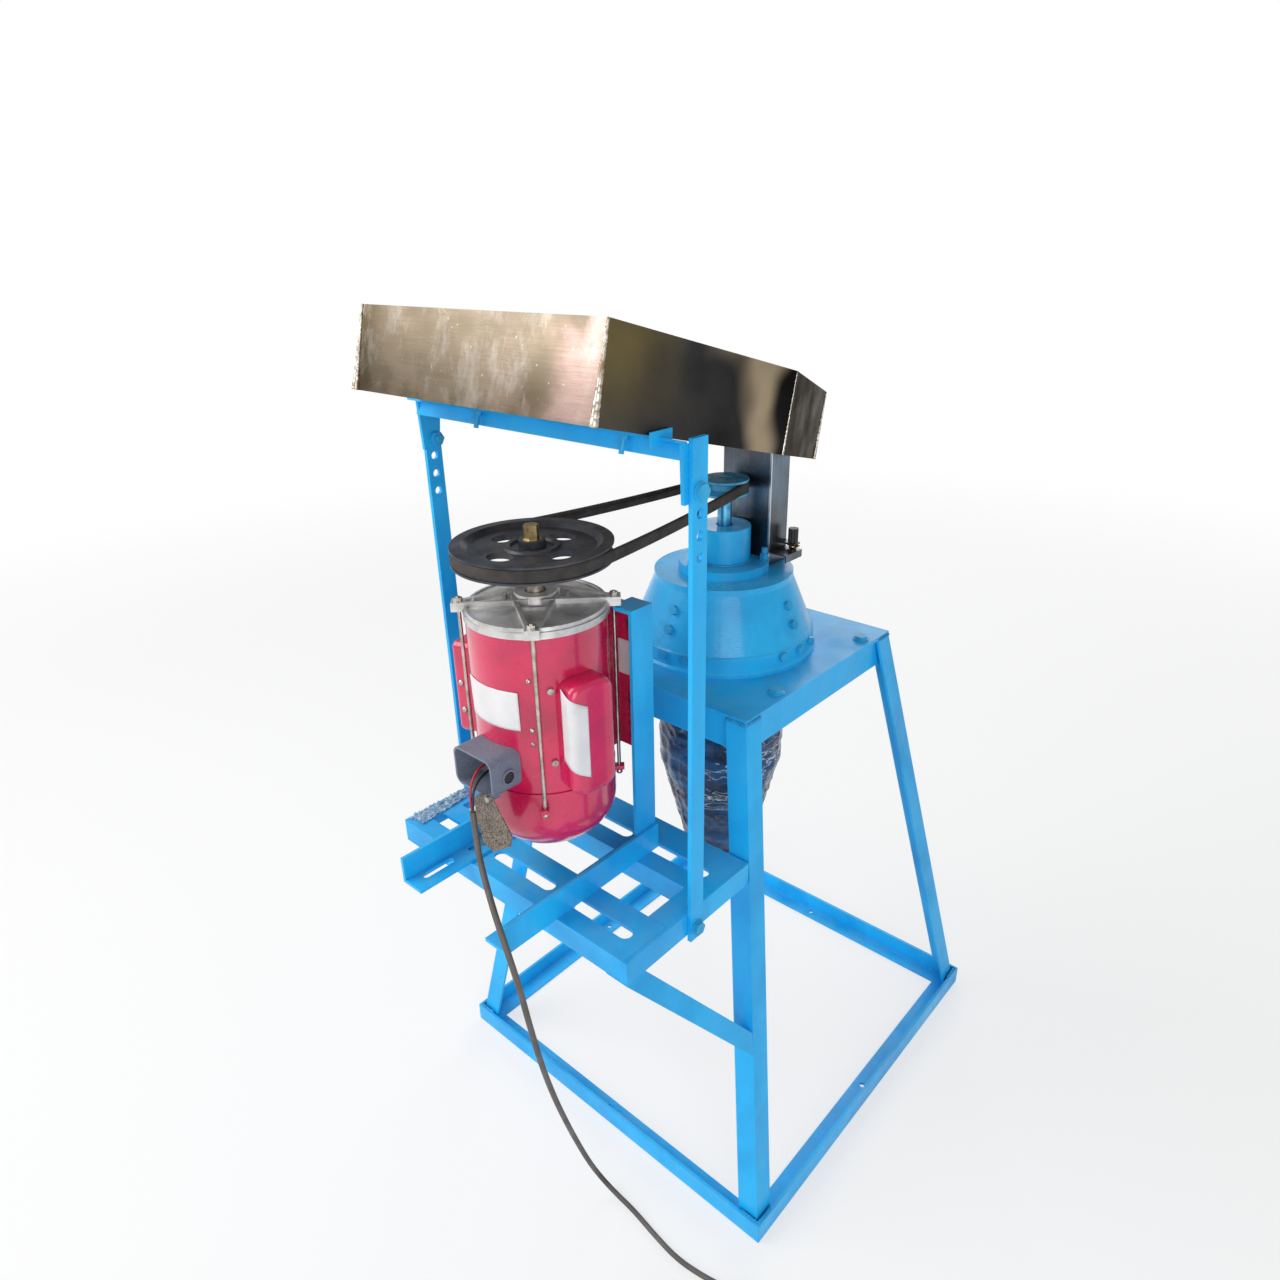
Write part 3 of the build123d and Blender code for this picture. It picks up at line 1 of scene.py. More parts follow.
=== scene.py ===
import bpy
import bmesh
import math
import random
from mathutils import Matrix, Vector, noise


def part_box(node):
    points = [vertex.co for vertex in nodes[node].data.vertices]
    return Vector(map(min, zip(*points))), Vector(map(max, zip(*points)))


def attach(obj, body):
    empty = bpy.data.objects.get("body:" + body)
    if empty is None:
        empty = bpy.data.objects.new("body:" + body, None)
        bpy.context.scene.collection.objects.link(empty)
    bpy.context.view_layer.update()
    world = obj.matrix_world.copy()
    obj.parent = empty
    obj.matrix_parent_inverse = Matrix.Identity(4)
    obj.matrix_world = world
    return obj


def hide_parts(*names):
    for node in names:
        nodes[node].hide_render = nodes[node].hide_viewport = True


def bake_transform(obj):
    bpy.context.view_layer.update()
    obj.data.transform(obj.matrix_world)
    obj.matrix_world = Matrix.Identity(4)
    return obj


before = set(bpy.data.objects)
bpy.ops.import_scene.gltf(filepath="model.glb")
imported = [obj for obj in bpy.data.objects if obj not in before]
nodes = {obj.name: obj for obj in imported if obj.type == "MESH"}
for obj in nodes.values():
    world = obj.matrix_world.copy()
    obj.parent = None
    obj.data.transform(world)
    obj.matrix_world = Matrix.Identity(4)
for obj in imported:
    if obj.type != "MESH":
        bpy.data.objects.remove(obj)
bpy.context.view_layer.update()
millX, millY = 0.0, -0.024
motorX, motorY = 0.0, -0.418
shellRadius = 0.091


def mm(*values):
    return Vector([value / 1000 for value in values])


def polar(centreX, centreY, radius, degreesRound, z):
    turn = math.radians(degreesRound)
    return Vector((centreX + radius * math.cos(turn), centreY + radius * math.sin(turn), z))


# camera

cameraSettings = {
    "place": (0.8104, -1.1129, 1.4151),
    "azimuth": 42.38,
    "down": 24.10,
    "roll": -1.24,
    "lens": 25.264,
    "sensor": 36.0,
}


def makeCamera(s):
    azimuth, down, roll = (math.radians(s[key]) for key in ("azimuth", "down", "roll"))
    level = Vector((math.cos(azimuth), math.sin(azimuth), 0))
    ahead = Vector((-math.sin(azimuth), math.cos(azimuth), 0))
    forward = ahead * math.cos(down) - Vector((0, 0, math.sin(down)))
    upward = level.cross(forward)
    right = level * math.cos(roll) + upward * math.sin(roll)
    above = right.cross(forward)
    data = bpy.data.cameras.new("camera")
    data.lens = s["lens"]
    data.sensor_width = s["sensor"]
    data.clip_start = 0.02
    data.clip_end = 100
    camera = bpy.data.objects.new("camera", data)
    turned = Matrix((right, above, -forward)).transposed().to_4x4()
    camera.matrix_world = Matrix.Translation(s["place"]) @ turned
    bpy.context.scene.collection.objects.link(camera)
    bpy.context.scene.camera = camera


makeCamera(cameraSettings)
print("camera ready")


# node helpers

def newMaterial(name, colour, metal=0.0, rough=0.5, **sockets):
    material = bpy.data.materials.new(name)
    material.use_nodes = True
    shader = material.node_tree.nodes["Principled BSDF"]
    shader.inputs["Base Color"].default_value = (*colour, 1)
    shader.inputs["Metallic"].default_value = metal
    shader.inputs["Roughness"].default_value = rough
    for key, value in sockets.items():
        shader.inputs[key.replace("_", " ")].default_value = value
    return material


def add(material, kind, settings=None, **inputs):
    made = material.node_tree.nodes.new("ShaderNode" + kind)
    for key, value in (settings or {}).items():
        setattr(made, key, value)
    for key, value in inputs.items():
        place = int(key[2:]) if key.startswith("at") else key.replace("_", " ")
        if isinstance(value, bpy.types.NodeSocket):
            material.node_tree.links.new(value, made.inputs[place])
        else:
            made.inputs[place].default_value = value
    return made


def place(material, stretch=(1, 1, 1)):
    spot = add(material, "TexCoord")
    return add(material, "Mapping", Vector=spot.outputs["Object"], Scale=stretch).outputs[0]


def cloudy(material, scale, detail=4.0, stretch=(1, 1, 1), rough=0.55):
    vector = place(material, stretch)
    made = add(material, "TexNoise", Vector=vector, Scale=scale, Detail=detail, Roughness=rough)
    return made.outputs["Fac"]


def ramp(material, factor, stops, smooth=False):
    made = add(material, "ValToRGB", Fac=factor)
    band = made.color_ramp
    if smooth:
        band.interpolation = "EASE"
    while len(band.elements) < len(stops):
        band.elements.new(0.5)
    for element, (where, colour) in zip(band.elements, stops):
        element.position = where
        if isinstance(colour, (int, float)):
            colour = (colour, colour, colour)
        element.color = (*colour, 1)
    return made.outputs["Color"]


def mixed(material, factor, first, second, how="MIX"):
    made = add(material, "Mix", {"data_type": "RGBA", "blend_type": how, "clamp_factor": True})
    for socket, value in zip((made.inputs[0], made.inputs[6], made.inputs[7]), (factor, first, second)):
        if isinstance(value, bpy.types.NodeSocket):
            material.node_tree.links.new(value, socket)
        elif socket is made.inputs[0]:
            socket.default_value = value
        else:
            socket.default_value = (*value, 1)
    return made.outputs[2]


def maths(material, how, first, second=0.0):
    return add(material, "Math", {"operation": how}, at0=first, at1=second).outputs[0]


def times(material, first, second):
    return maths(material, "MULTIPLY", first, second)


def shade(material, socket, value):
    shader = material.node_tree.nodes["Principled BSDF"]
    material.node_tree.links.new(value, shader.inputs[socket])


# noise of one scale, coloured by stops
def clouded(material, stops, scale, detail=4.0, stretch=(1, 1, 1), rough=0.55):
    return ramp(material, cloudy(material, scale, detail, stretch, rough), stops)


def roughened(material, scale, detail, low, high, highAt=0.75):
    shade(material, "Roughness", clouded(material, [(0.3, low), (highAt, high)], scale, detail))


def bumps(material, *layers):
    normal = None
    for height, strength, distance in layers:
        made = add(material, "Bump", Height=height, Strength=strength, Distance=distance)
        if normal is not None:
            material.node_tree.links.new(normal, made.inputs["Normal"])
        normal = made.outputs[0]
    shade(material, "Normal", normal)


def between(material, source, low, high, first=0.0, second=1.0):
    made = add(material, "MapRange", {"interpolation_type": "SMOOTHSTEP"}, Value=source)
    for socket, value in (("From Min", low), ("From Max", high), ("To Min", first), ("To Max", second)):
        made.inputs[socket].default_value = value
    return made.outputs[0]


def axisOf(material, letter):
    spot = add(material, "TexCoord")
    return add(material, "SeparateXYZ", Vector=spot.outputs["Object"]).outputs[letter]


def facing(material, letter):
    normal = add(material, "NewGeometry").outputs["Normal"]
    return add(material, "SeparateXYZ", Vector=normal).outputs[letter]


# mesh helpers

def newPiece(name, verts, faces, material, body, slot=None, smooth=True):
    mesh = bpy.data.meshes.new(name)
    mesh.from_pydata([tuple(v) for v in verts], [], faces)
    mesh.update()
    piece = bpy.data.objects.new(name, mesh)
    bpy.context.scene.collection.objects.link(piece)
    mesh.materials.append(material)
    if smooth:
        mesh.shade_smooth()
    if body:
        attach(piece, body)
    return piece


def tidyNormals(piece):
    work = bmesh.new()
    work.from_mesh(piece.data)
    bmesh.ops.recalc_face_normals(work, faces=work.faces)
    work.to_mesh(piece.data)
    work.free()


def frameAlong(points, i):
    before = points[max(i - 1, 0)]
    after = points[min(i + 1, len(points) - 1)]
    along = (after - before).normalized()
    side = along.cross(Vector((0, 0, 1)))
    if side.length < 0.05:
        side = along.cross(Vector((0, 1, 0)))
    side.normalize()
    return along, side, side.cross(along).normalized()


# closed tube along points, its radius from a list
def tubeMesh(points, radii, around=10):
    verts, faces = [], []
    for i, point in enumerate(points):
        _, side, rise = frameAlong(points, i)
        for k in range(around):
            turn = 2 * math.pi * k / around
            verts.append(point + (side * math.cos(turn) + rise * math.sin(turn)) * radii[i])
    for i in range(len(points) - 1):
        for k in range(around):
            a, b = i * around + k, i * around + (k + 1) % around
            faces.append((a, b, b + around, a + around))
    faces.append(tuple(reversed(range(around))))
    faces.append(tuple(range((len(points) - 1) * around, len(points) * around)))
    return verts, faces


# faces of a closed ring of sections
def ringFaces(count, around):
    faces = []
    for i in range(count):
        here, after = i * around, (i + 1) % count * around
        for k in range(around):
            beside = (k + 1) % around
            faces.append((here + k, here + beside, after + beside, after + k))
    return faces


# faces of a grid of rows and columns
def gridFaces(rows, columns):
    faces = []
    for row in range(rows):
        for column in range(columns):
            a = row * (columns + 1) + column
            faces.append((a, a + 1, a + columns + 2, a + columns + 1))
    return faces


def joined(groups):
    verts, faces = [], []
    for someVerts, someFaces in groups:
        start = len(verts)
        verts += list(someVerts)
        faces += [tuple(v + start for v in face) for face in someFaces]
    return verts, faces


# (radius, height) points turned about an axis through centre
def turnedMesh(profile, centre, axis=Vector((0, 0, 1)), steps=48):
    axis = axis.normalized()
    side = axis.cross(Vector((1, 0, 0)))
    if side.length < 0.1:
        side = axis.cross(Vector((0, 1, 0)))
    side.normalize()
    other = axis.cross(side)
    verts, faces = [], []
    for radius, height in profile:
        for k in range(steps):
            turn = 2 * math.pi * k / steps
            outwards = side * math.cos(turn) + other * math.sin(turn)
            verts.append(centre + axis * height + outwards * radius)
    for i in range(len(profile) - 1):
        for k in range(steps):
            a, b = i * steps + k, i * steps + (k + 1) % steps
            faces.append((a, b, b + steps, a + steps))
    faces.append(tuple(reversed(range(steps))))
    faces.append(tuple(range((len(profile) - 1) * steps, len(profile) * steps)))
    return verts, faces


# enamels

enamelSettings = {
    "frame": {"light": (0.016, 0.47, 0.92), "dark": (0.008, 0.33, 0.74), "rough": 0.40, "coat": 0.12},
    "mill": {"light": (0.018, 0.48, 0.90), "dark": (0.008, 0.30, 0.66), "rough": 0.33, "coat": 0.25},
    "bolts": {"light": (0.03, 0.42, 0.76), "dark": (0.01, 0.22, 0.46), "rough": 0.38, "coat": 0.1},
    "primer": (0.008, 0.10, 0.26),
    "dust": (0.24, 0.42, 0.52),
}


def blueEnamel(name, s, rings=0.0):
    material = newMaterial(
        name, s["light"], 0.0, s["rough"],
        Coat_Weight=s["coat"], Coat_Roughness=0.12, Specular_IOR_Level=0.27,
    )
    patches = clouded(material, [(0.3, s["dark"]), (0.55, s["light"]), (0.8, s["light"])], 7.0, 5)
    strokes = clouded(material, [(0.35, 0.0), (0.75, 0.35)], 38.0, 3, (1, 1, 0.12))
    streaked = mixed(material, strokes, patches, s["dark"])
    chips = clouded(material, [(0.715, 0.0), (0.735, 1.0)], 95.0, 6, rough=0.7)
    chipped = mixed(material, chips, streaked, enamelSettings["primer"])
    upward = between(material, facing(material, "Z"), 0.6, 1.0)
    dusty = times(material, clouded(material, [(0.35, 0.0), (0.8, 0.32)], 22.0, 6), upward)
    shade(material, "Base Color", mixed(material, dusty, chipped, enamelSettings["dust"]))
    roughened(material, 16.0, 4, s["rough"] - 0.1, s["rough"] + 0.16)
    layers = [
        (cloudy(material, 260.0, 3), 0.22, 0.0006),
        (cloudy(material, 60.0, 2, (1, 1, 0.15)), 0.25, 0.0008),
        (chips, -0.5, 0.0005),
    ]
    if rings:
        height = axisOf(material, "Z")
        layers.append((maths(material, "SINE", times(material, height, rings)), 0.16, 0.0006))
    bumps(material, *layers)
    return material


frameEnamel = blueEnamel("frameEnamel", enamelSettings["frame"])
millEnamel = blueEnamel("millEnamel", enamelSettings["mill"], rings=2600.0)
boltEnamel = blueEnamel("boltEnamel", enamelSettings["bolts"])


# stainless steel of the tray: brown front, its lit side, with a painted pink reflection and white smears,
# near-black flanks that are painted shade, with a painted olive reflection at their start and one pale
# painted reflection in a swirl; the pairs below are places in metres

traySettings = {
    "front": ((0.105, 0.083, 0.055), (0.210, 0.172, 0.127), (0.30, 0.255, 0.200)),
    "pinkReflection": (0.36, 0.255, 0.225),
    "shadedFlank": ((0.016, 0.016, 0.017), (0.040, 0.040, 0.042), (0.085, 0.078, 0.070)),
    "oliveReflection": (0.15, 0.118, 0.055),
    "swirlReflection": (0.42, 0.34, 0.23),
    "haze": (0.46, 0.44, 0.41),
    "shadow": (0.014, 0.014, 0.016),
    "edgeTint": (0.33, 0.31, 0.28, 1),
    "rough": 0.27,
    "pinkReflectionAcross": (0.02, 0.17),
    "leftShade": (-0.150, -0.204),
    "oliveReflectionAlong": (-0.16, -0.30),
    "oliveReflectionRise": (1.22, 1.33),
    "swirlReflectionStart": (-0.15, -0.10),
    "swirlReflectionEnd": (-0.035, -0.085),
}


def trayFront(material, s):
    broad = cloudy(material, 3.4, 2, (1.0, 1.0, 0.7))
    tones = ramp(material, broad, list(zip((0.30, 0.48, 0.66), s["front"])), True)
    across = axisOf(material, "X")
    # painted reflection: a pink patch brightens one part of the front
    pinkReflectionPatch = between(material, cloudy(material, 7.0), 0.42, 0.6)
    pinkReflectionMask = times(material, between(material, across, *s["pinkReflectionAcross"]), pinkReflectionPatch)
    tones = mixed(material, pinkReflectionMask, tones, s["pinkReflection"])
    return mixed(material, between(material, across, *s["leftShade"]), tones, s["front"][0])


# the flanks' colour: near-black painted shade, with painted olive and pale swirl reflections
def flankShadeAndReflections(material, s):
    along = axisOf(material, "Y")
    wavy = maths(material, "ADD", along, times(material, cloudy(material, 5.0, 2), 0.30))
    broad = cloudy(material, 4.2, 3, (1.0, 0.6, 1.4))
    tones = ramp(material, broad, list(zip((0.34, 0.52, 0.72), s["shadedFlank"])), True)
    # painted reflections on the flanks: an olive one high up near their start, and a pale swirl
    high = between(material, axisOf(material, "Z"), *s["oliveReflectionRise"])
    oliveReflection = times(material, between(material, wavy, *s["oliveReflectionAlong"]), high)
    tones = mixed(material, oliveReflection, tones, s["oliveReflection"])
    swirlReflectionEnd = between(material, wavy, *s["swirlReflectionEnd"])
    swirlReflection = times(material, between(material, wavy, *s["swirlReflectionStart"]), swirlReflectionEnd)
    return mixed(material, times(material, swirlReflection, 0.8), tones, s["swirlReflection"])


def trayMetal(s):
    material = newMaterial("trayMetal", s["front"][1], 1.0, s["rough"], Specular_Tint=s["edgeTint"])
    # flanks, picked by their facing, get near-black tones: painted shade of the same steel as the front
    shadedFlank = between(material, maths(material, "ABSOLUTE", facing(material, "X")), 0.4, 0.8)
    rolled = cloudy(material, 60.0, 4, (0.35, 0.35, 9.0))
    front = trayFront(material, s)
    front = mixed(material, ramp(material, rolled, [(0.3, 0.0), (0.8, 0.35)]), front, s["front"][0])
    smears = clouded(material, [(0.50, 0.0), (0.78, 0.7)], 21.0, 9, (1, 1, 0.45), 0.72)
    spots = clouded(material, [(0.69, 0.0), (0.75, 0.8)], 170.0, 3)
    front = mixed(material, maths(material, "MAXIMUM", smears, spots), front, s["haze"])
    body = mixed(material, shadedFlank, front, flankShadeAndReflections(material, s))
    turnedAway = times(material, shadedFlank, between(material, facing(material, "Y"), 0.2, 0.34))
    body = mixed(material, turnedAway, body, s["shadow"])
    rim = between(material, facing(material, "Z"), 0.6, 0.96)
    shade(material, "Base Color", mixed(material, times(material, rim, 0.5), body, s["haze"]))
    roughened(material, 20.0, 7, 0.18, 0.40)
    dents = cloudy(material, 9.0, 2)
    bumps(material, (rolled, 0.05, 0.0004), (dents, 0.12, 0.004), (smears, 0.1, 0.0003))
    return material


# stainless steel of the chute, with a painted highlight, a bright line down the corner that faces the
# front

chuteSettings = {
    "corner": (0.054, 0.020),
    "paintedHighlight": (0.0040, 0.0012),
    "edge": (0.62, 0.66, 0.70),
    "tones": ((0.075, 0.065, 0.052), (0.14, 0.165, 0.195), (0.19, 0.27, 0.36)),
    "grain": (0.04, 0.035, 0.03),
}


def chuteMetal(s):
    material = newMaterial("chuteMetal", s["tones"][1], 1.0, 0.3)
    brushed = cloudy(material, 90.0, 4, (9.0, 9.0, 0.25))
    tones = clouded(material, list(zip((0.3, 0.55, 0.8), s["tones"])), 8.0, 3)
    tones = mixed(material, ramp(material, brushed, [(0.3, 0.0), (0.75, 0.3)]), tones, s["grain"])
    offX, offY = (
        maths(material, "ABSOLUTE", maths(material, "SUBTRACT", axisOf(material, letter), middle))
        for letter, middle in zip("XY", s["corner"])
    )
    # painted highlight: the corner nearest the front takes the bright edge colour
    paintedHighlight = between(material, maths(material, "ADD", offX, offY), *s["paintedHighlight"])
    shade(material, "Base Color", mixed(material, paintedHighlight, tones, s["edge"]))
    shade(material, "Roughness", ramp(material, brushed, [(0.3, 0.24), (0.75, 0.42)]))
    bumps(material, (brushed, 0.08, 0.0004))
    return material


# machined, cast and plated metals

rustColour = (0.16, 0.075, 0.03)
motorCentre = (motorX, motorY, 0)
millCentre = (millX, millY, 0)
ironSettings = {
    "big": {
        "colours": ((0.022, 0.027, 0.037), (0.085, 0.092, 0.108)),
        "metal": 0.5, "rough": 0.46, "rings": 5200.0, "centre": motorCentre, "rust": 0.4,
    },
    "small": {
        "colours": ((0.03, 0.27, 0.50), (0.10, 0.46, 0.72)),
        "metal": 0.1, "rough": 0.36, "rings": 5200.0, "centre": millCentre,
    },
}


def ringedMetal(name, colours, metal, rough, rings, centre, rust=0.0):
    material = newMaterial(name, colours[1], metal, rough)
    tones = clouded(material, [(0.3, colours[0]), (0.7, colours[1])], 26.0, 6)
    if rust:
        patches = clouded(material, [(0.50, 0.0), (0.72, rust)], 34.0, 8, rough=0.7)
        tones = mixed(material, patches, tones, rustColour)
    shade(material, "Base Color", tones)
    roughened(material, 42.0, 6, rough - 0.1, rough + 0.18)
    spot = add(material, "TexCoord").outputs["Object"]
    fromAxis = add(material, "VectorMath", {"operation": "SUBTRACT"}, at0=spot, at1=centre).outputs[0]
    flat = add(material, "VectorMath", {"operation": "MULTIPLY"}, at0=fromAxis, at1=(1, 1, 0)).outputs[0]
    away = add(material, "VectorMath", {"operation": "LENGTH"}, at0=flat).outputs["Value"]
    wave = maths(material, "SINE", times(material, away, rings))
    bumps(material, (wave, 0.10, 0.0005), (cloudy(material, 190.0, 5), 0.22, 0.0006))
    return material


def platedSteel(name, colour, stain, rough=0.34):
    material = newMaterial(name, colour, 1.0, rough)
    stops = [(0.3, stain), (0.6, colour), (0.85, colour)]
    shade(material, "Base Color", clouded(material, stops, 70.0, 6))
    roughened(material, 110.0, 5, rough - 0.1, rough + 0.16)
    bumps(material, (cloudy(material, 420.0, 3), 0.15, 0.0003))
    return material


aluminiumTones = ((0.36, 0.345, 0.33), (0.66, 0.65, 0.64), (0.80, 0.80, 0.80))


def castAluminium(tones):
    material = newMaterial("castAluminium", tones[1], 0.75, 0.45)
    shade(material, "Base Color", clouded(material, list(zip((0.3, 0.55, 0.8), tones)), 30.0, 7))
    roughened(material, 80.0, 5, 0.36, 0.62)
    bumps(material, (cloudy(material, 520.0, 4), 0.5, 0.0007), (cloudy(material, 60.0, 3), 0.2, 0.0012))
    return material


redSettings = {
    "tones": ((0.46, 0.006, 0.060), (0.66, 0.009, 0.085), (0.62, 0.015, 0.13)),
    "grime": (0.20, 0.01, 0.035),
    "scratch": (0.62, 0.20, 0.22),
    "rough": 0.24,
    "coat": {"Coat_Weight": 0.8, "Coat_Roughness": 0.07},
}


def motorRed(s):
    material = newMaterial("motorRed", s["tones"][1], 0.0, s["rough"], **s["coat"])
    tones = clouded(material, list(zip((0.3, 0.55, 0.85), s["tones"])), 12.0, 5)
    grime = clouded(material, [(0.62, 0.0), (0.8, 0.5)], 46.0, 8, rough=0.72)
    scratches = clouded(material, [(0.70, 0.0), (0.74, 0.35)], 120.0, 5, (1, 1, 0.08))
    dirty = mixed(material, grime, tones, s["grime"])
    shade(material, "Base Color", mixed(material, scratches, dirty, s["scratch"]))
    roughened(material, 30.0, 6, 0.18, 0.38, highAt=0.8)
    bumps(material, (cloudy(material, 300.0, 2), 0.14, 0.0005), (cloudy(material, 22.0, 2), 0.12, 0.003))
    return material


def speckled(name, colours, rough, scale):
    material = newMaterial(name, colours[1], 0.0, rough)
    cells = add(material, "TexVoronoi", {"feature": "F1"}, Vector=place(material), Scale=scale)
    grey = add(material, "RGBToBW", Color=cells.outputs["Color"]).outputs[0]
    grains = ramp(material, grey, list(zip((0.15, 0.45, 0.8), colours)))
    worn = clouded(material, [(0.3, 0.0), (0.8, 0.4)], 55.0, 6)
    shade(material, "Base Color", mixed(material, worn, grains, colours[0]))
    bumps(material, (grey, 0.25, 0.0004), (cloudy(material, 70.0, 4), 0.3, 0.001))
    return material


def plainCoat(name, colour, rough, grain=420.0, strength=0.25, spread=0.75):
    material = newMaterial(name, colour, 0.0, rough)
    low = tuple(part * spread for part in colour)
    shade(material, "Base Color", clouded(material, [(0.3, low), (0.7, colour)], 28.0, 6))
    roughened(material, 60.0, 4, rough - 0.08, rough + 0.12)
    bumps(material, (cloudy(material, grain, 3), strength, 0.0005))
    return material


tray = trayMetal(traySettings)
chute = chuteMetal(chuteSettings)
bigPulleyIron = ringedMetal("bigPulleyIron", **ironSettings["big"])
smallPulleyIron = ringedMetal("smallPulleyIron", **ironSettings["small"])
shaftSteel = platedSteel("shaftSteel", (0.50, 0.46, 0.38), (0.20, 0.16, 0.11))
millShaftSteel = platedSteel("millShaftSteel", (0.12, 0.46, 0.70), (0.05, 0.24, 0.42), 0.36)
yellowSteel = platedSteel("yellowSteel", (0.62, 0.47, 0.22), (0.26, 0.17, 0.07), 0.32)
innerSteel = platedSteel("innerSteel", (0.42, 0.42, 0.42), (0.18, 0.17, 0.16))
zincSteel = platedSteel("zincSteel", (0.60, 0.58, 0.54), (0.24, 0.22, 0.19), 0.36)
rodSteel = platedSteel("rodSteel", (0.64, 0.60, 0.54), (0.34, 0.30, 0.25), 0.30)
aluminium = castAluminium(aluminiumTones)
brightPlate = plainCoat("brightPlate", (0.86, 0.87, 0.88), 0.36, 300.0, 0.2, 0.85)
red = motorRed(redSettings)
boxTones = ((0.10, 0.12, 0.17), (0.16, 0.185, 0.25), (0.22, 0.25, 0.32))
lidTones = ((0.045, 0.035, 0.028), (0.15, 0.12, 0.09), (0.33, 0.28, 0.22))
greyBox = speckled("greyBox", boxTones, 0.38, 1500.0)
taupeLid = speckled("taupeLid", lidTones, 0.62, 620.0)
blackPlastic = plainCoat("blackPlastic", (0.018, 0.018, 0.020), 0.42)
cableSheath = plainCoat("cableSheath", (0.13, 0.115, 0.105), 0.55, 700.0, 0.3, 0.55)
redWireCoat = plainCoat("redWireCoat", (0.42, 0.012, 0.014), 0.38)
blackWireCoat = plainCoat("blackWireCoat", (0.012, 0.012, 0.013), 0.4)
stickerPaper = plainCoat("stickerPaper", (0.80, 0.79, 0.80), 0.5, 240.0, 0.2, 0.86)
weldMetal = plainCoat("weldMetal", (0.012, 0.33, 0.68), 0.4, 900.0, 0.5, 0.6)
brightWeld = platedSteel("brightWeld", (0.80, 0.76, 0.68), (0.30, 0.22, 0.14), 0.42)
print("materials ready")


# every carried-over piece of metal gets its finish and rounded edges

finishes = {
    frameEnamel: (
        "base_rails leg_front_left leg_front_right leg_rear_left leg_rear_right top_frame_angles "
        "top_plate platform_front_channel platform_rear_channel platform_side_angles braces "
        "uprights cross_angle skids posts"
    ),
    millEnamel: "cone_housing cover_disc bearing_flange bearing_housing discharge_funnel",
    boltEnamel: "plate_bolts liner_bolts flange_studs frame_bolts",
    zincSteel: "foot_bolts clamp_bolts case_screws",
    rodSteel: "tie_rods",
    tray: "hopper_tray",
    chute: "feed_chute gate_plate",
    shaftSteel: "motor_shaft",
    millShaftSteel: "mill_shaft",
    yellowSteel: "shaft_end",
    innerSteel: (
        "grinding_liner sieve_ring mill_rotor motor_rotor stator_core mill_bearings motor_bearings"
    ),
    bigPulleyIron: "motor_pulley",
    smallPulleyIron: "mill_pulley",
    red: "motor_shell fan_cover run_capacitor_cover start_capacitor_cover",
    aluminium: "end_bell lower_shield",
    brightPlate: "nameplate",
    greyBox: "terminal_box",
    taupeLid: "terminal_cover",
    blackPlastic: "gate_knob cooling_fan mains_plug",
}
edgeSettings = {
    "usual": 0.0009,
    "angle": 38,
    "own": {
        "base_rails": 0.0016, "hopper_tray": 0.0006, "feed_chute": 0.0005,
        "motor_pulley": 0.0007, "end_bell": 0.0012,
    },
}


def dress(node, material):
    piece = nodes[node]
    piece.data.materials.clear()
    piece.data.materials.append(material)
    edge = piece.modifiers.new("edges", "BEVEL")
    edge.width = edgeSettings["own"].get(node, edgeSettings["usual"])
    edge.segments = 2
    edge.limit_method = "ANGLE"
    edge.angle_limit = math.radians(edgeSettings["angle"])
    edge.use_clamp_overlap = True
    edge.harden_normals = True


for material, names in finishes.items():
    for node in names.split():
        dress(node, material)
print("carried-over pieces dressed")


# cable: the route of the tube, then the stored turns, then the plug

cableSettings = {
    "radius": 0.004,
    "coilCentre": (0.402, -0.482),
    "turnRadii": (0.049, 0.041, 0.041, 0.049, 0.049, 0.041),
    "layers": (0, 0, 1, 1, 2, 2),
    "perTurn": 14,
    "tailPlace": (0.3685, -0.527, 0.0100),
    "wobble": 0.0006,
    "climb": 0.7,
    "length": 2.8,
    "route": (
        (19, -563, 764), (24.4, -565.7, 738.3), (42, -577, 713), (76, -594, 693), (110, -610, 676),
        (136, -618, 648), (148, -615, 598), (143, -601, 520), (129, -577, 420), (113, -547, 318),
        (98, -514, 218), (88, -484, 130), (85, -462, 66), (93, -447, 24), (117, -441, 4.1),
        (160, -443, 4.1), (208, -450, 4.1), (258, -455, 4.1), (302, -449, 4.1), (337, -440, 4.1),
        (367.6, -437, 4.1),
    ),
}


# turns lie on the floor in layers, and each climbs to the next in its last part
def coilPoints(s):
    points = []
    centreX, centreY = s["coilCentre"]
    turns = len(s["turnRadii"])
    steps = s["perTurn"] * turns - s["perTurn"] // 2
    for i in range(1, steps + 1):
        along = i / s["perTurn"]
        turn = min(int(along), turns - 1)
        nextTurn = min(turn + 1, turns - 1)
        ease = min(1.0, max(0.0, (along - turn - s["climb"]) / (1 - s["climb"])))
        radius = s["turnRadii"][turn] * (1 - ease) + s["turnRadii"][nextTurn] * ease
        layer = s["layers"][turn] * (1 - ease) + s["layers"][nextTurn] * ease
        wobble = s["wobble"] * math.sin(2.3 * i)
        height = s["radius"] * (1 + 2 * layer) + 0.0001
        points.append(polar(centreX, centreY, radius + wobble, 90 - 360 * along, height))
    return points


def smoothCurve(name, points, radius, material, body):
    data = bpy.data.curves.new(name, "CURVE")
    data.dimensions = "3D"
    data.bevel_depth = radius
    data.bevel_resolution = 5
    data.resolution_u = 10
    data.use_fill_caps = True
    spline = data.splines.new("NURBS")
    spline.points.add(len(points) - 1)
    for spot, point in zip(spline.points, points):
        spot.co = (*point, 1)
    spline.order_u = 3
    spline.use_endpoint_u = True
    data.materials.append(material)
    curve = bpy.data.objects.new(name, data)
    bpy.context.scene.collection.objects.link(curve)
    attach(curve, body)
    return curve


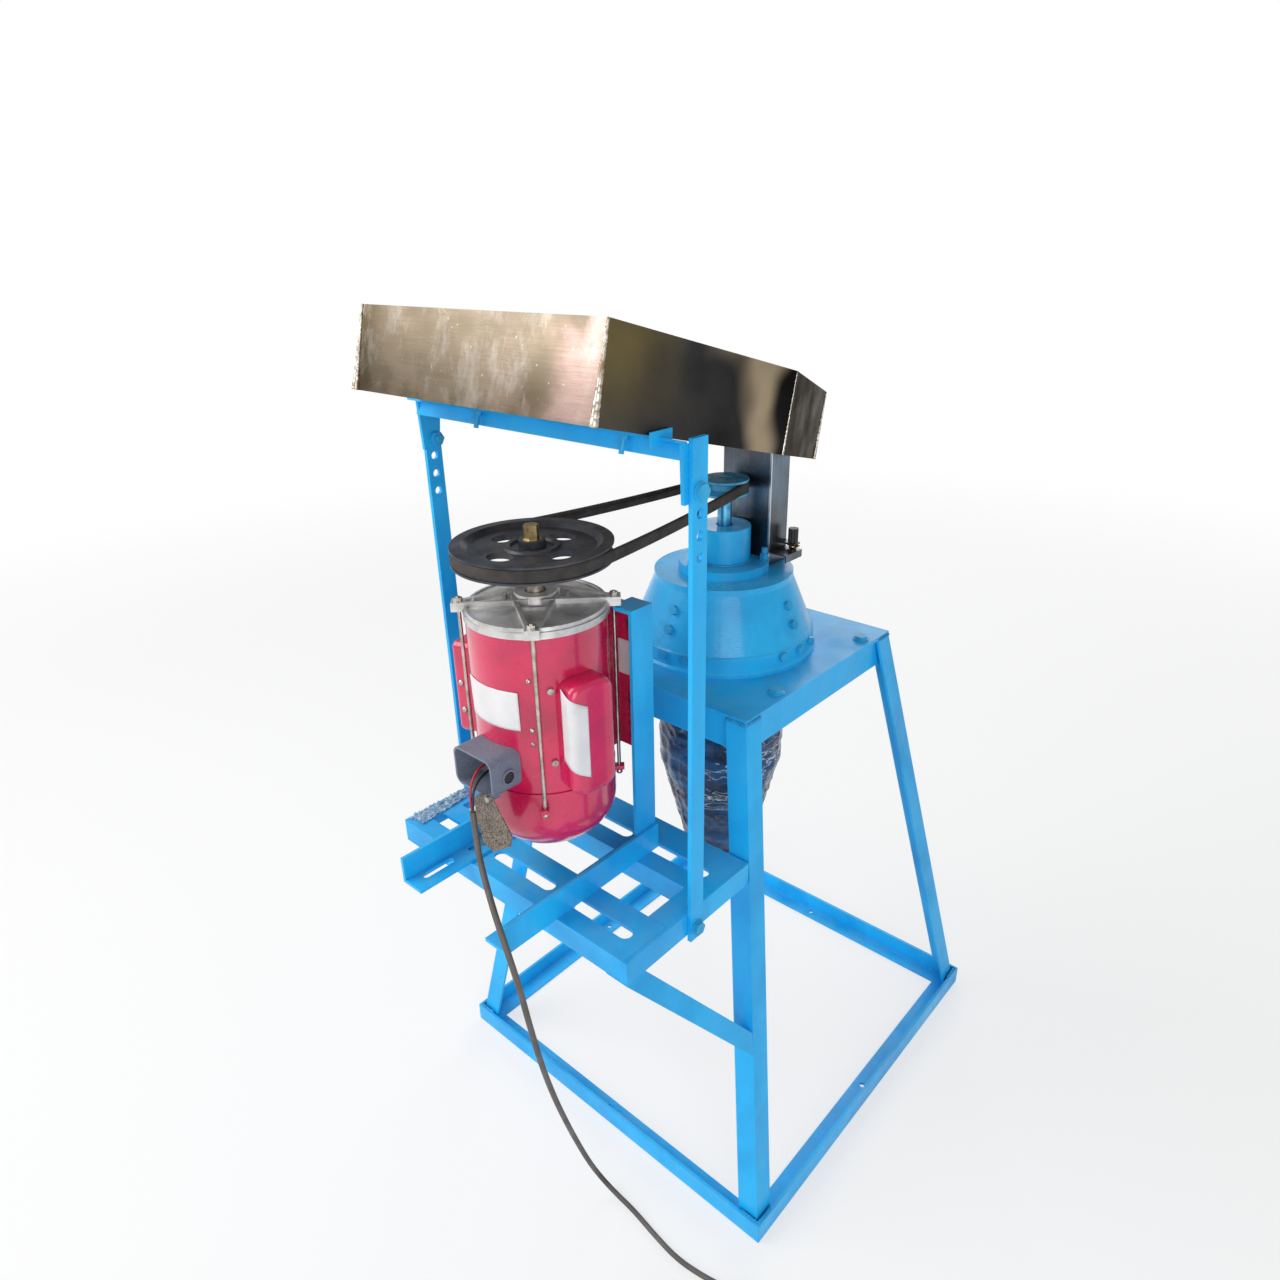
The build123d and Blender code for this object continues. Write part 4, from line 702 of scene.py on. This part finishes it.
def makeCable(s):
    points = [mm(*spot) for spot in s["route"]] + coilPoints(s)
    last = points[-1]
    tail = Vector(s["tailPlace"])
    points.append(last.lerp(tail, 0.5) + Vector((0, -0.001, 0.001)))
    points.append(tail)
    cable = smoothCurve("cable", points, s["radius"], cableSheath, "motor_carriage")
    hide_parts("power_cord", "cord_coil")


wireSettings = {
    "radius": 0.0016,
    "length": 0.076,
    "red": ((2, -512.6, 807), (4, -533, 812), (9, -551, 802), (13, -560.5, 785), (17.4, -563, 764.5)),
    "black": ((7, -512.6, 803), (11, -534, 803), (14, -552, 795), (17.5, -560, 781), (20.6, -563, 764.5)),
}


def makeWires(s):
    for colour, coat in (("red", redWireCoat), ("black", blackWireCoat)):
        points = [mm(*spot) for spot in s[colour]]
        wire = smoothCurve(colour + "Wire", points, s["radius"], coat, "motor_carriage")
    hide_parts("lead_wires")


makeCable(cableSettings)
makeWires(wireSettings)
print("cable ready")


# belt: a wrapped V belt over both pulleys, its runs sagging a little

beltSettings = {
    "height": 1.067,
    "bigRadius": 0.1009,
    "smallRadius": 0.0359,
    "topWidth": 0.0160,
    "deep": 0.0105,
    "crown": 0.0005,
    "edge": 0.0010,
    "sideLean": 19.0,
    "runSteps": 60,
    "arcSteps": 70,
    "sag": 0.0035,
    "bendFrom": 0.115,
    "bendTo": -0.045,
    "dust": ((0.018, 0.016, 0.015), (0.055, 0.047, 0.042)),
}


def beltRubber(dust):
    material = newMaterial("beltRubber", dust[0], 0.0, 0.72)
    shade(material, "Base Color", clouded(material, list(zip((0.35, 0.7), dust)), 40.0, 7))
    bands = {"bands_direction": "DIAGONAL"}
    weave = add(material, "TexWave", bands, Vector=place(material), Scale=900.0, Distortion=0.4)
    bumps(material, (weave.outputs["Fac"], 0.4, 0.0003), (cloudy(material, 220.0, 4), 0.3, 0.0006))
    return material


def onPulley(centreY, radius, turn):
    return Vector((math.cos(turn) * radius, centreY + math.sin(turn) * radius, 0))


# the belt's line as points with the sag of each: a run, the small pulley, the other run, the large pulley
def beltLoop(s):
    big, small = s["bigRadius"], s["smallRadius"]
    lean = math.asin((big - small) / (millY - motorY))
    start, end = onPulley(motorY, big, lean), onPulley(millY, small, lean)
    runs = [i / s["runSteps"] for i in range(s["runSteps"])]
    half = s["arcSteps"] // 2
    spots = [(start.lerp(end, part), s["sag"] * 4 * part * (1 - part)) for part in runs]
    for i in range(half):
        spots.append((onPulley(millY, small, lean + (math.pi - 2 * lean) * i / half), 0.0))
    for part in runs:
        spot = end.lerp(start, part)
        spots.append((Vector((-spot.x, spot.y, 0)), s["sag"] * 4 * part * (1 - part)))
    for i in range(s["arcSteps"]):
        turn = math.pi - lean + (math.pi + 2 * lean) * i / s["arcSteps"]
        spots.append((onPulley(motorY, big, turn), 0.0))
    return spots


def beltSection(s):
    half, edge, crown, deep = s["topWidth"] / 2, s["edge"], s["crown"], s["deep"]
    low = half - deep * math.tan(math.radians(s["sideLean"]))
    return [
        (0, -half + edge), (crown, -half * 0.5), (crown, half * 0.5), (0, half - edge), (-edge, half),
        (-deep + 0.8 * edge, low), (-deep, low - edge), (-deep, -low + edge),
        (-deep + 0.8 * edge, -low), (-edge, -half),
    ]


def makeBelt(s):
    spots, section = beltLoop(s), beltSection(s)
    count, around = len(spots), len(section)
    verts = []
    for i, (spot, sag) in enumerate(spots):
        before, after = spots[i - 1][0], spots[(i + 1) % count][0]
        along = (after - before).normalized()
        out = Vector((along.y, -along.x, 0))
        for reach, rise in section:
            verts.append(spot + out * reach + Vector((0, 0, s["height"] + rise - sag)))
    belt = newPiece("belt", verts, ringFaces(count, around), beltRubber(s["dust"]), None, "belt_rubber")
    tidyNormals(belt)
    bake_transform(belt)
    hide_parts("drive_belt")


makeBelt(beltSettings)
print("belt ready")


# film wound round the funnel

filmSettings = {
    "top": 0.788,
    "neck": 0.600,
    "cone": 0.405,
    "foot": 0.387,
    "wide": 0.1030,
    "narrow": 0.0535,
    "rows": 150,
    "columns": 260,
    "crease": 0.0040,
    "ragged": 0.006,
    "helix": 0.0011,
    "standOff": (-0.0008, 0.0028),
    "seed": 7,
    "tones": ((0.002, 0.007, 0.020), (0.006, 0.036, 0.105), (0.014, 0.095, 0.22), (0.004, 0.014, 0.040)),
    "glint": (0.62, 0.72, 0.80),
    "gloss": {"Coat_Weight": 0.12, "Specular_IOR_Level": 0.22},
}


def filmRadius(s, z):
    if z >= s["neck"]:
        return s["wide"]
    if z <= s["cone"]:
        return s["narrow"]
    part = (z - s["cone"]) / (s["neck"] - s["cone"])
    return s["narrow"] + (s["wide"] - s["narrow"]) * part


# dark blue layers with painted glints: thin bright lines standing for light caught where the film is
# drawn into wrinkles
def filmSkin(s):
    material = newMaterial("filmSkin", s["tones"][1], 0.0, 0.16, **s["gloss"])
    tones = clouded(material, list(zip((0.30, 0.48, 0.64, 0.8), s["tones"])), 14.0, 6, (1, 1, 2.2))
    # painted glints: narrow bands of noise give thin bright lines in the glint colour
    glintBand = [(0.490, 0.0), (0.5, 0.95), (0.510, 0.0)]
    glintLines = clouded(material, glintBand, 11.0, 3, (1, 1, 3.0), 0.5)
    fineGlintBand = [(0.60, 0.0), (0.61, 0.8), (0.62, 0.0)]
    finerGlintLines = clouded(material, fineGlintBand, 30.0, 3, (1, 1, 2.4), 0.5)
    glintPatches = clouded(material, [(0.47, 0.0), (0.60, 1.0)], 9.0, 3)
    glintMask = times(material, maths(material, "MAXIMUM", glintLines, finerGlintLines), glintPatches)
    shade(material, "Base Color", mixed(material, glintMask, tones, s["glint"]))
    roughened(material, 30.0, 5, 0.12, 0.34)
    creases = cloudy(material, 60.0, 5, (1, 1, 3.5))
    bumps(material, (creases, 0.40, 0.003), (cloudy(material, 210.0, 3, (1, 1, 2.0)), 0.3, 0.001))
    return material


def makeFilm(s):
    verts, faces = [], []
    lowest, highest = s["standOff"]
    for row in range(s["rows"] + 1):
        down = row / s["rows"]
        for column in range(s["columns"]):
            turn = 2 * math.pi * column / s["columns"]
            x, y = math.cos(turn), math.sin(turn)
            top = s["top"] + s["ragged"] * noise.noise(Vector((x * 2, y * 2, 3.1)))
            z = top + (s["foot"] - top) * down
            bands = abs(noise.noise(Vector((x * 3.0 + s["seed"], y * 3.0, z * 48.0))))
            folds = noise.noise(Vector((x * 9.0, y * 9.0, z * 14.0 + s["seed"])))
            pinch = 0.25 + 0.75 * min(1.0, down * 8.0) * min(1.0, (1 - down) * 14.0)
            creased = s["crease"] * pinch * ((0.75 - 1.5 * bands) * 0.6 + 0.45 * folds)
            wound = s["helix"] * math.sin(z * 60.0 + turn) ** 6
            radius = filmRadius(s, z) + max(lowest, min(highest, creased + wound))
            verts.append(polar(millX, millY, radius, math.degrees(turn), z))
    for row in range(s["rows"]):
        for column in range(s["columns"]):
            a = row * s["columns"] + column
            b = row * s["columns"] + (column + 1) % s["columns"]
            faces.append((a, a + s["columns"], b + s["columns"], b))
    film = newPiece("filmWrap", verts, faces, filmSkin(s), "stand", "film")
    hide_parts("film_wrap")


makeFilm(filmSettings)
print("film ready")


# blank stickers on the motor

stickerSettings = {
    "thick": 0.0003,
    "left": {"low": 0.861, "high": 0.914, "from": -117.0, "to": -60.0, "lift": 0.00045, "curl": 0.0012},
    "hump": {
        "side": 0.011, "across": 0.0135, "top": (0.923, 0.899), "low": (0.823, 0.799),
        "reach": 0.119, "flat": 0.023, "round": 0.010, "turn": -10.0, "lift": 0.0005,
    },
}


def stickerMesh(name, spotAt, rows=16, columns=24):
    verts = []
    for row in range(rows + 1):
        verts += [spotAt(column / columns, row / rows) for column in range(columns + 1)]
    sticker = newPiece(name, verts, gridFaces(rows, columns), stickerPaper, "motor_carriage")
    paper = sticker.modifiers.new("paper", "SOLIDIFY")
    paper.thickness = stickerSettings["thick"]
    paper.offset = 1


def shellStickerPlace(u, v):
    s = stickerSettings["left"]
    turn = s["from"] + (s["to"] - s["from"]) * u
    curl = s["curl"] * (abs(u - 0.5) * 2) ** 8 * v
    ripple = 0.00012 * noise.noise(Vector((u * 9, v * 5, 1)))
    height = s["low"] + (s["high"] - s["low"]) * v
    return polar(motorX, motorY, shellRadius + s["lift"] + curl + ripple, turn, height)


# from the capacitor cover's left side round its edge and on to its flat face
def humpStickerPlace(u, v):
    s = stickerSettings["hump"]
    bend = math.pi / 2 * s["round"]
    along = u * (s["side"] + bend + s["across"]) - s["side"]
    turned = min(max(along / s["round"], 0.0), math.pi / 2)
    skin = s["round"] + s["lift"]
    reach = s["reach"] - s["round"] + skin * math.sin(turned) + min(along, 0.0)
    side = -s["flat"] - skin * math.cos(turned) + max(along - bend, 0.0)
    top = s["top"][0] + (s["top"][1] - s["top"][0]) * u
    low = s["low"][0] + (s["low"][1] - s["low"][0]) * u
    turn = math.radians(s["turn"])
    out = Vector((math.cos(turn), math.sin(turn), 0))
    across = Vector((-out.y, out.x, 0))
    return Vector((motorX, motorY, low + (top - low) * v)) + out * reach + across * side


stickerMesh("shellSticker", shellStickerPlace)
stickerMesh("humpSticker", humpStickerPlace)
print("stickers ready")


# weld beads where the stand's members meet

weldSettings = {
    "step": 0.0016,
    "wander": 0.0004,
    "plate": {"run": 0.034, "radius": 0.0034},
    "foot": {"run": 0.033, "radius": 0.003, "height": 0.0355},
    "housing": {"ring": 0.0423, "radius": 0.0026, "lift": 0.0008},
}


def weldBead(start, run, radius, seed):
    random.seed(seed)
    end = start + run
    length = (end - start).length
    steps = max(6, int(length / weldSettings["step"]))
    points, radii = [], []
    for i in range(steps + 1):
        part = i / steps
        wander = Vector([random.uniform(-1, 1) * weldSettings["wander"] for _ in range(3)])
        points.append(start.lerp(end, part) + wander)
        ripple = 0.78 + 0.22 * math.sin(i * 2.1) + random.uniform(-0.06, 0.06)
        radii.append(radius * ripple * (0.55 if i in (0, steps) else 1.0))
    return tubeMesh(points, radii, 8)


# two beads that leave a corner towards the middle
def cornerBeads(corner, sx, sy, s, seed):
    return [
        weldBead(corner, Vector((-sx * s["run"], 0, 0)), s["radius"], seed),
        weldBead(corner, Vector((0, -sy * s["run"], 0)), s["radius"], seed + 1),
    ]


def standWelds(s):
    plateLow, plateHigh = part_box("top_plate")
    groups = []
    for sx in (-1, 1):
        for edgeY, sy in ((plateLow.y, -1), (plateHigh.y, 1)):
            corner = Vector((sx * plateHigh.x, edgeY, plateLow.z))
            groups += cornerBeads(corner, sx, sy, s["plate"], len(groups) + 1)
    for side in ("front_left", "front_right", "rear_left", "rear_right"):
        low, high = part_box("leg_" + side)
        sx = 1 if "right" in side else -1
        sy = 1 if "rear" in side else -1
        x = high.x if sx > 0 else low.x
        y = high.y if sy > 0 else low.y
        heel = Vector((x, y, s["foot"]["height"]))
        groups += cornerBeads(heel, sx, sy, s["foot"], len(groups) + 1)
    return groups


# where the tray's folded sheet is welded: a ragged silver bead down each front corner,
# finer ones at the other corners, each with its place along the tray and its share of the width

foldSettings = {
    "tilt": 14.5,
    "foot": (-0.507, 1.253),
    "half": 0.204,
    "taper": 0.112,
    "straight": 0.335,
    "long": 0.603,
    "wall": 0.0995,
    "beads": ((0.0, 1.0), (0.335, 0.35), (0.603, 0.6)),
    "thin": 0.0013,
    "swell": 0.0030,
    "ragged": 0.0008,
    "wander": 0.0003,
    "steps": 60,
    "seed": 31,
}


def trayCorner(s, sx, along, rise):
    tilt = math.radians(s["tilt"])
    past = max(0.0, along - s["straight"]) / (s["long"] - s["straight"])
    y = s["foot"][0] + along * math.cos(tilt) + rise * math.sin(tilt)
    z = s["foot"][1] - along * math.sin(tilt) + rise * math.cos(tilt)
    return Vector((sx * (s["half"] - s["taper"] * past), y, z))


def trayWelds(s):
    random.seed(s["seed"])
    groups = []
    for sx in (-1, 1):
        for along, share in s["beads"]:
            points, radii = [], []
            for i in range(s["steps"] + 1):
                up = i / s["steps"]
                wander = Vector([random.uniform(-1, 1) * s["wander"] for _ in range(3)])
                points.append(trayCorner(s, sx, along, s["wall"] * up) + wander)
                wide = s["thin"] + s["swell"] * (1 - up) ** 1.5 + random.uniform(0, s["ragged"])
                radii.append(share * wide)
            groups.append(tubeMesh(points, radii, 8))
    return groups


newPiece("trayWelds", *joined(trayWelds(foldSettings)), brightWeld, "stand", "stainless_sheet")


# ring bead where the bearing housing stands on its flange
def ringBead(centre, radius, thick, count=120, around=8):
    random.seed(5)
    verts = []
    for i in range(count):
        turn = 360 * i / count
        fat = thick * (0.85 + 0.2 * math.sin(i * 1.9) + random.uniform(-0.06, 0.06))
        out = polar(0, 0, 1, turn, 0)
        for k in range(around):
            lean = 2 * math.pi * k / around
            reach, rise = fat * math.cos(lean), fat * math.sin(lean)
            verts.append(centre + out * (radius + reach) + Vector((0, 0, rise)))
    return verts, ringFaces(count, around)


def housingBead(s):
    foot = Vector((millX, millY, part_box("bearing_housing")[0].z + s["lift"]))
    return ringBead(foot, s["ring"], s["radius"])


newPiece("housingBead", *housingBead(weldSettings["housing"]), weldMetal, "stand", "mill_enamel")
newPiece("standWelds", *joined(standWelds(weldSettings)), weldMetal, "stand", "blue_enamel")
print("welds ready")


# washers, threads and small screws

# profiles are (radius, height) pairs from the seat outwards
hardwareSettings = {
    "plateBolts": ((176, -127), (176, 117), (-176, -127), (-176, 117)),
    "plateWasher": (0.006, 0.0128, 0.0016),
    "studs": (34, 146, 257),
    "studCircle": 0.0635,
    "studWasher": (0.0052, 0.0092, 0.0012),
    "studThread": {"radius": 0.005, "from": 0.0100, "long": 0.0082, "pitch": 0.0011},
    "uprightBolts": (1.171, 0.5855),
    "uprightFace": 0.2363,
    "uprightY": -0.3845,
    "uprightWasher": (0.0052, 0.0112, 0.0016),
    "shellScrews": ((-51.0, 0.930), (-51.0, 0.862), (-51.0, 0.842)),
    "shellHead": ((0.0001, 0.0), (0.0034, 0.0), (0.0034, 0.0006), (0.0022, 0.0019), (0.0001, 0.0022)),
    "coverScrews": ((-0.1019, -0.4732, 0.8712), (-0.1003, -0.4728, 0.8304)),
    "coverFace": (0.28, -0.96, 0),
    "coverHead": ((0.0001, -0.0004), (0.0046, 0.0), (0.0046, 0.0008), (0.0030, 0.0028), (0.0001, 0.0033)),
    "knockOut": (0.0405, -0.520, 0.8035),
    "knockOutDisc": ((0.0001, 0.0), (0.0081, 0.0), (0.0081, 0.0022), (0.0062, 0.0026), (0.0001, 0.0020)),
}


def washer(centre, axis, hole, rim, thick, edge=0.0003):
    profile = [(hole, 0.0), (rim - edge, 0.0), (rim, edge)]
    profile += [(rim, thick - edge), (rim - edge, thick), (hole, thick)]
    return turnedMesh(profile, centre, axis)


def threaded(centre, s):
    profile, height = [(0.0005, 0.0)], 0.0
    while height < s["long"]:
        profile.append((s["radius"] + 0.00028, height + s["pitch"] * 0.25))
        profile.append((s["radius"] + 0.00002, height + s["pitch"] * 0.75))
        height += s["pitch"]
    profile += [(s["radius"] - 0.0008, height + 0.0004), (0.0005, height + 0.0004)]
    return turnedMesh(profile, centre + Vector((0, 0, s["from"])), steps=28)


def frameHardware(s):
    up = Vector((0, 0, 1))
    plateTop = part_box("top_plate")[1].z
    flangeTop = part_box("bearing_flange")[1].z
    groups = [washer(mm(x, y, 0) + up * plateTop, up, *s["plateWasher"]) for x, y in s["plateBolts"]]
    for turn in s["studs"]:
        spot = polar(millX, millY, s["studCircle"], turn, flangeTop)
        groups.append(washer(spot, up, *s["studWasher"]))
        groups.append(threaded(spot, s["studThread"]))
    for sx in (-1, 1):
        for z in s["uprightBolts"]:
            spot = Vector((sx * s["uprightFace"], s["uprightY"], z))
            groups.append(washer(spot, Vector((sx, 0, 0)), *s["uprightWasher"]))
    return groups


def motorScrews(s):
    groups = []
    for turn, z in s["shellScrews"]:
        spot = polar(motorX, motorY, shellRadius - 0.0002, turn, z)
        groups.append(turnedMesh(s["shellHead"], spot, polar(0, 0, 1, turn, 0), 24))
    for spot in s["coverScrews"]:
        groups.append(turnedMesh(s["coverHead"], Vector(spot), Vector(s["coverFace"]), 24))
    return groups


def makeHardware(s):
    newPiece("frameWashers", *joined(frameHardware(s)), boltEnamel, "stand", "zinc_steel")
    screws = newPiece("shellScrews", *joined(motorScrews(s)), zincSteel, "motor_carriage", "zinc_steel")
    tidyNormals(screws)
    disc = turnedMesh(s["knockOutDisc"], Vector(s["knockOut"]), Vector((1, 0, 0)), 36)
    tidyNormals(newPiece("knockOut", *disc, blackPlastic, "motor_carriage"))


makeHardware(hardwareSettings)


# brass wing nut that locks the gate's screw: its body's profile, and (out, up) points of each wing

wingNutSettings = {
    "foot": (0.072, 0.062, 0.9602),
    "body": ((0.0031, 0), (0.0062, 0), (0.0058, 0.0030), (0.0046, 0.0054), (0.0031, 0.0054)),
    "wing": ((0.004, 0.002), (0.007, 0.0032), (0.010, 0.0046), (0.0122, 0.0052)),
    "radii": (0.0016, 0.0019, 0.0021, 0.0012),
}


def makeWingNut(s):
    foot = Vector(s["foot"])
    groups = [turnedMesh(s["body"], foot)]
    for sx in (-1, 1):
        points = [foot + Vector((sx * x, 0, z)) for x, z in s["wing"]]
        groups.append(tubeMesh(points, s["radii"], 12))
    tidyNormals(newPiece("wingNut", *joined(groups), yellowSteel, "knob", "yellow_steel"))


makeWingNut(wingNutSettings)
print("hardware ready")


# torn piece of film left on the platform's left side angle

remnantSettings = {
    "corner": (-0.2285, -0.504),
    "long": 0.104,
    "wide": 0.031,
    "rows": 30,
    "columns": 90,
    "ragged": 0.006,
    "lift": 0.0006,
    "crumple": 0.0060,
    "tones": ((0.10, 0.34, 0.56), (0.42, 0.62, 0.76), (0.86, 0.90, 0.94)),
    "gloss": {"Coat_Weight": 0.6, "Coat_Roughness": 0.05, "Transmission_Weight": 0.35},
}


def remnantFilm(s):
    material = newMaterial("remnantFilm", s["tones"][1], 0.0, 0.12, **s["gloss"])
    folds = cloudy(material, 70.0, 6, (2.4, 1, 1), 0.65)
    # the film's own blue, with tones that follow the same folds as the bumps: painted shade in the
    # hollows and near-white painted highlights on the crests
    shade(material, "Base Color", ramp(material, folds, list(zip((0.35, 0.55, 0.7), s["tones"]))))
    bumps(material, (folds, 0.6, 0.002), (cloudy(material, 260.0, 3), 0.3, 0.0006))
    return material


def makeRemnant(s):
    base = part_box("platform_side_angles")[1].z
    verts = []
    for row in range(s["rows"] + 1):
        for column in range(s["columns"] + 1):
            u, v = column / s["columns"], row / s["rows"]
            ragged = s["ragged"] * noise.noise(Vector((u * 6, 4.2, v * 3)))
            x = s["corner"][0] + s["wide"] * v * (1 - 0.3 * u) + 0.3 * abs(ragged)
            y = s["corner"][1] + s["long"] * u + ragged
            crumple = abs(noise.noise(Vector((u * 16, v * 6, 0.4))))
            crumple += 0.4 * abs(noise.noise(Vector((u * 40, v * 18, 2))))
            verts.append(Vector((x, y, base + s["lift"] + s["crumple"] * crumple)))
    faces = [(a, d, c, b) for a, b, c, d in gridFaces(s["rows"], s["columns"])]
    newPiece("filmRemnant", verts, faces, remnantFilm(s), "stand", "film")


makeRemnant(remnantSettings)
print("film remnant ready")


# studio: pale floor, soft lamps

studioSettings = {
    "floorSize": 40.0,
    "floorHeight": -0.0004,
    "floor": (0.80, 0.81, 0.82),
    "fade": (1.2, 5.0, 0.62, 1.0),
    "world": 0.46,
    "lamps": {
        "keyLamp": {
            "place": (-1.9, -2.3, 3.1), "aim": (0, -0.2, 0.7), "size": 2.8, "power": 100,
            "tint": (1.0, 0.985, 0.97),
        },
        "fillLamp": {
            "place": (2.6, -2.6, 1.5), "aim": (0, -0.2, 0.5), "size": 2.2, "power": 52,
            "tint": (0.97, 0.985, 1.0),
        },
        "backLamp": {
            "place": (-1.0, 2.6, 2.6), "aim": (0, 0, 0.8), "size": 2.2, "power": 34,
            "tint": (1, 1, 1),
        },
    },
}


# the floor fades to white with distance where the camera or a shiny surface sees it
def makeFloor(s):
    half = s["floorSize"] / 2
    corners = [(x * half, y * half, s["floorHeight"]) for x, y in ((-1, -1), (1, -1), (1, 1), (-1, 1))]
    material = newMaterial("paleFloor", s["floor"], 0.0, 0.7)
    glow = add(material, "Emission", Color=(1, 1, 1, 1), Strength=1.0).outputs[0]
    spot = add(material, "TexCoord").outputs["Object"]
    away = add(material, "VectorMath", {"operation": "LENGTH"}, at0=spot).outputs["Value"]
    far = between(material, away, *s["fade"])
    rays = add(material, "LightPath")
    seen = maths(material, "MAXIMUM", rays.outputs["Is Camera Ray"], rays.outputs["Is Glossy Ray"])
    factor = times(material, far, seen)
    shader = material.node_tree.nodes["Principled BSDF"].outputs[0]
    blendNode = add(material, "MixShader", Fac=factor, at1=shader, at2=glow)
    output = material.node_tree.nodes["Material Output"]
    material.node_tree.links.new(blendNode.outputs[0], output.inputs["Surface"])
    floor = newPiece("floor", corners, [(0, 1, 2, 3)], material, None, smooth=False)


def makeWorld(s):
    world = bpy.data.worlds.new("studio")
    bpy.context.scene.world = world
    world.use_nodes = True
    tree = world.node_tree
    background = tree.nodes["Background"]
    background.inputs["Color"].default_value = (1, 1, 1, 1)
    rays = tree.nodes.new("ShaderNodeLightPath")
    seen = tree.nodes.new("ShaderNodeMath")
    seen.operation = "MAXIMUM"
    tree.links.new(rays.outputs["Is Camera Ray"], seen.inputs[0])
    tree.links.new(rays.outputs["Is Transmission Ray"], seen.inputs[1])
    level = tree.nodes.new("ShaderNodeMapRange")
    level.inputs["To Min"].default_value = s["world"]
    level.inputs["To Max"].default_value = 1.0
    tree.links.new(seen.outputs[0], level.inputs["Value"])
    tree.links.new(level.outputs[0], background.inputs["Strength"])


def makeLamps(s):
    for name, lamp in s["lamps"].items():
        data = bpy.data.lights.new(name, "AREA")
        data.energy = lamp["power"]
        data.size = lamp["size"]
        data.color = lamp["tint"]
        light = bpy.data.objects.new(name, data)
        light.location = lamp["place"]
        aim = Vector(lamp["aim"]) - Vector(lamp["place"])
        light.rotation_euler = aim.to_track_quat("-Z", "Y").to_euler()
        bpy.context.scene.collection.objects.link(light)


makeFloor(studioSettings)
makeWorld(studioSettings)
makeLamps(studioSettings)
bpy.context.scene.view_settings.view_transform = "Standard"
print("studio ready")
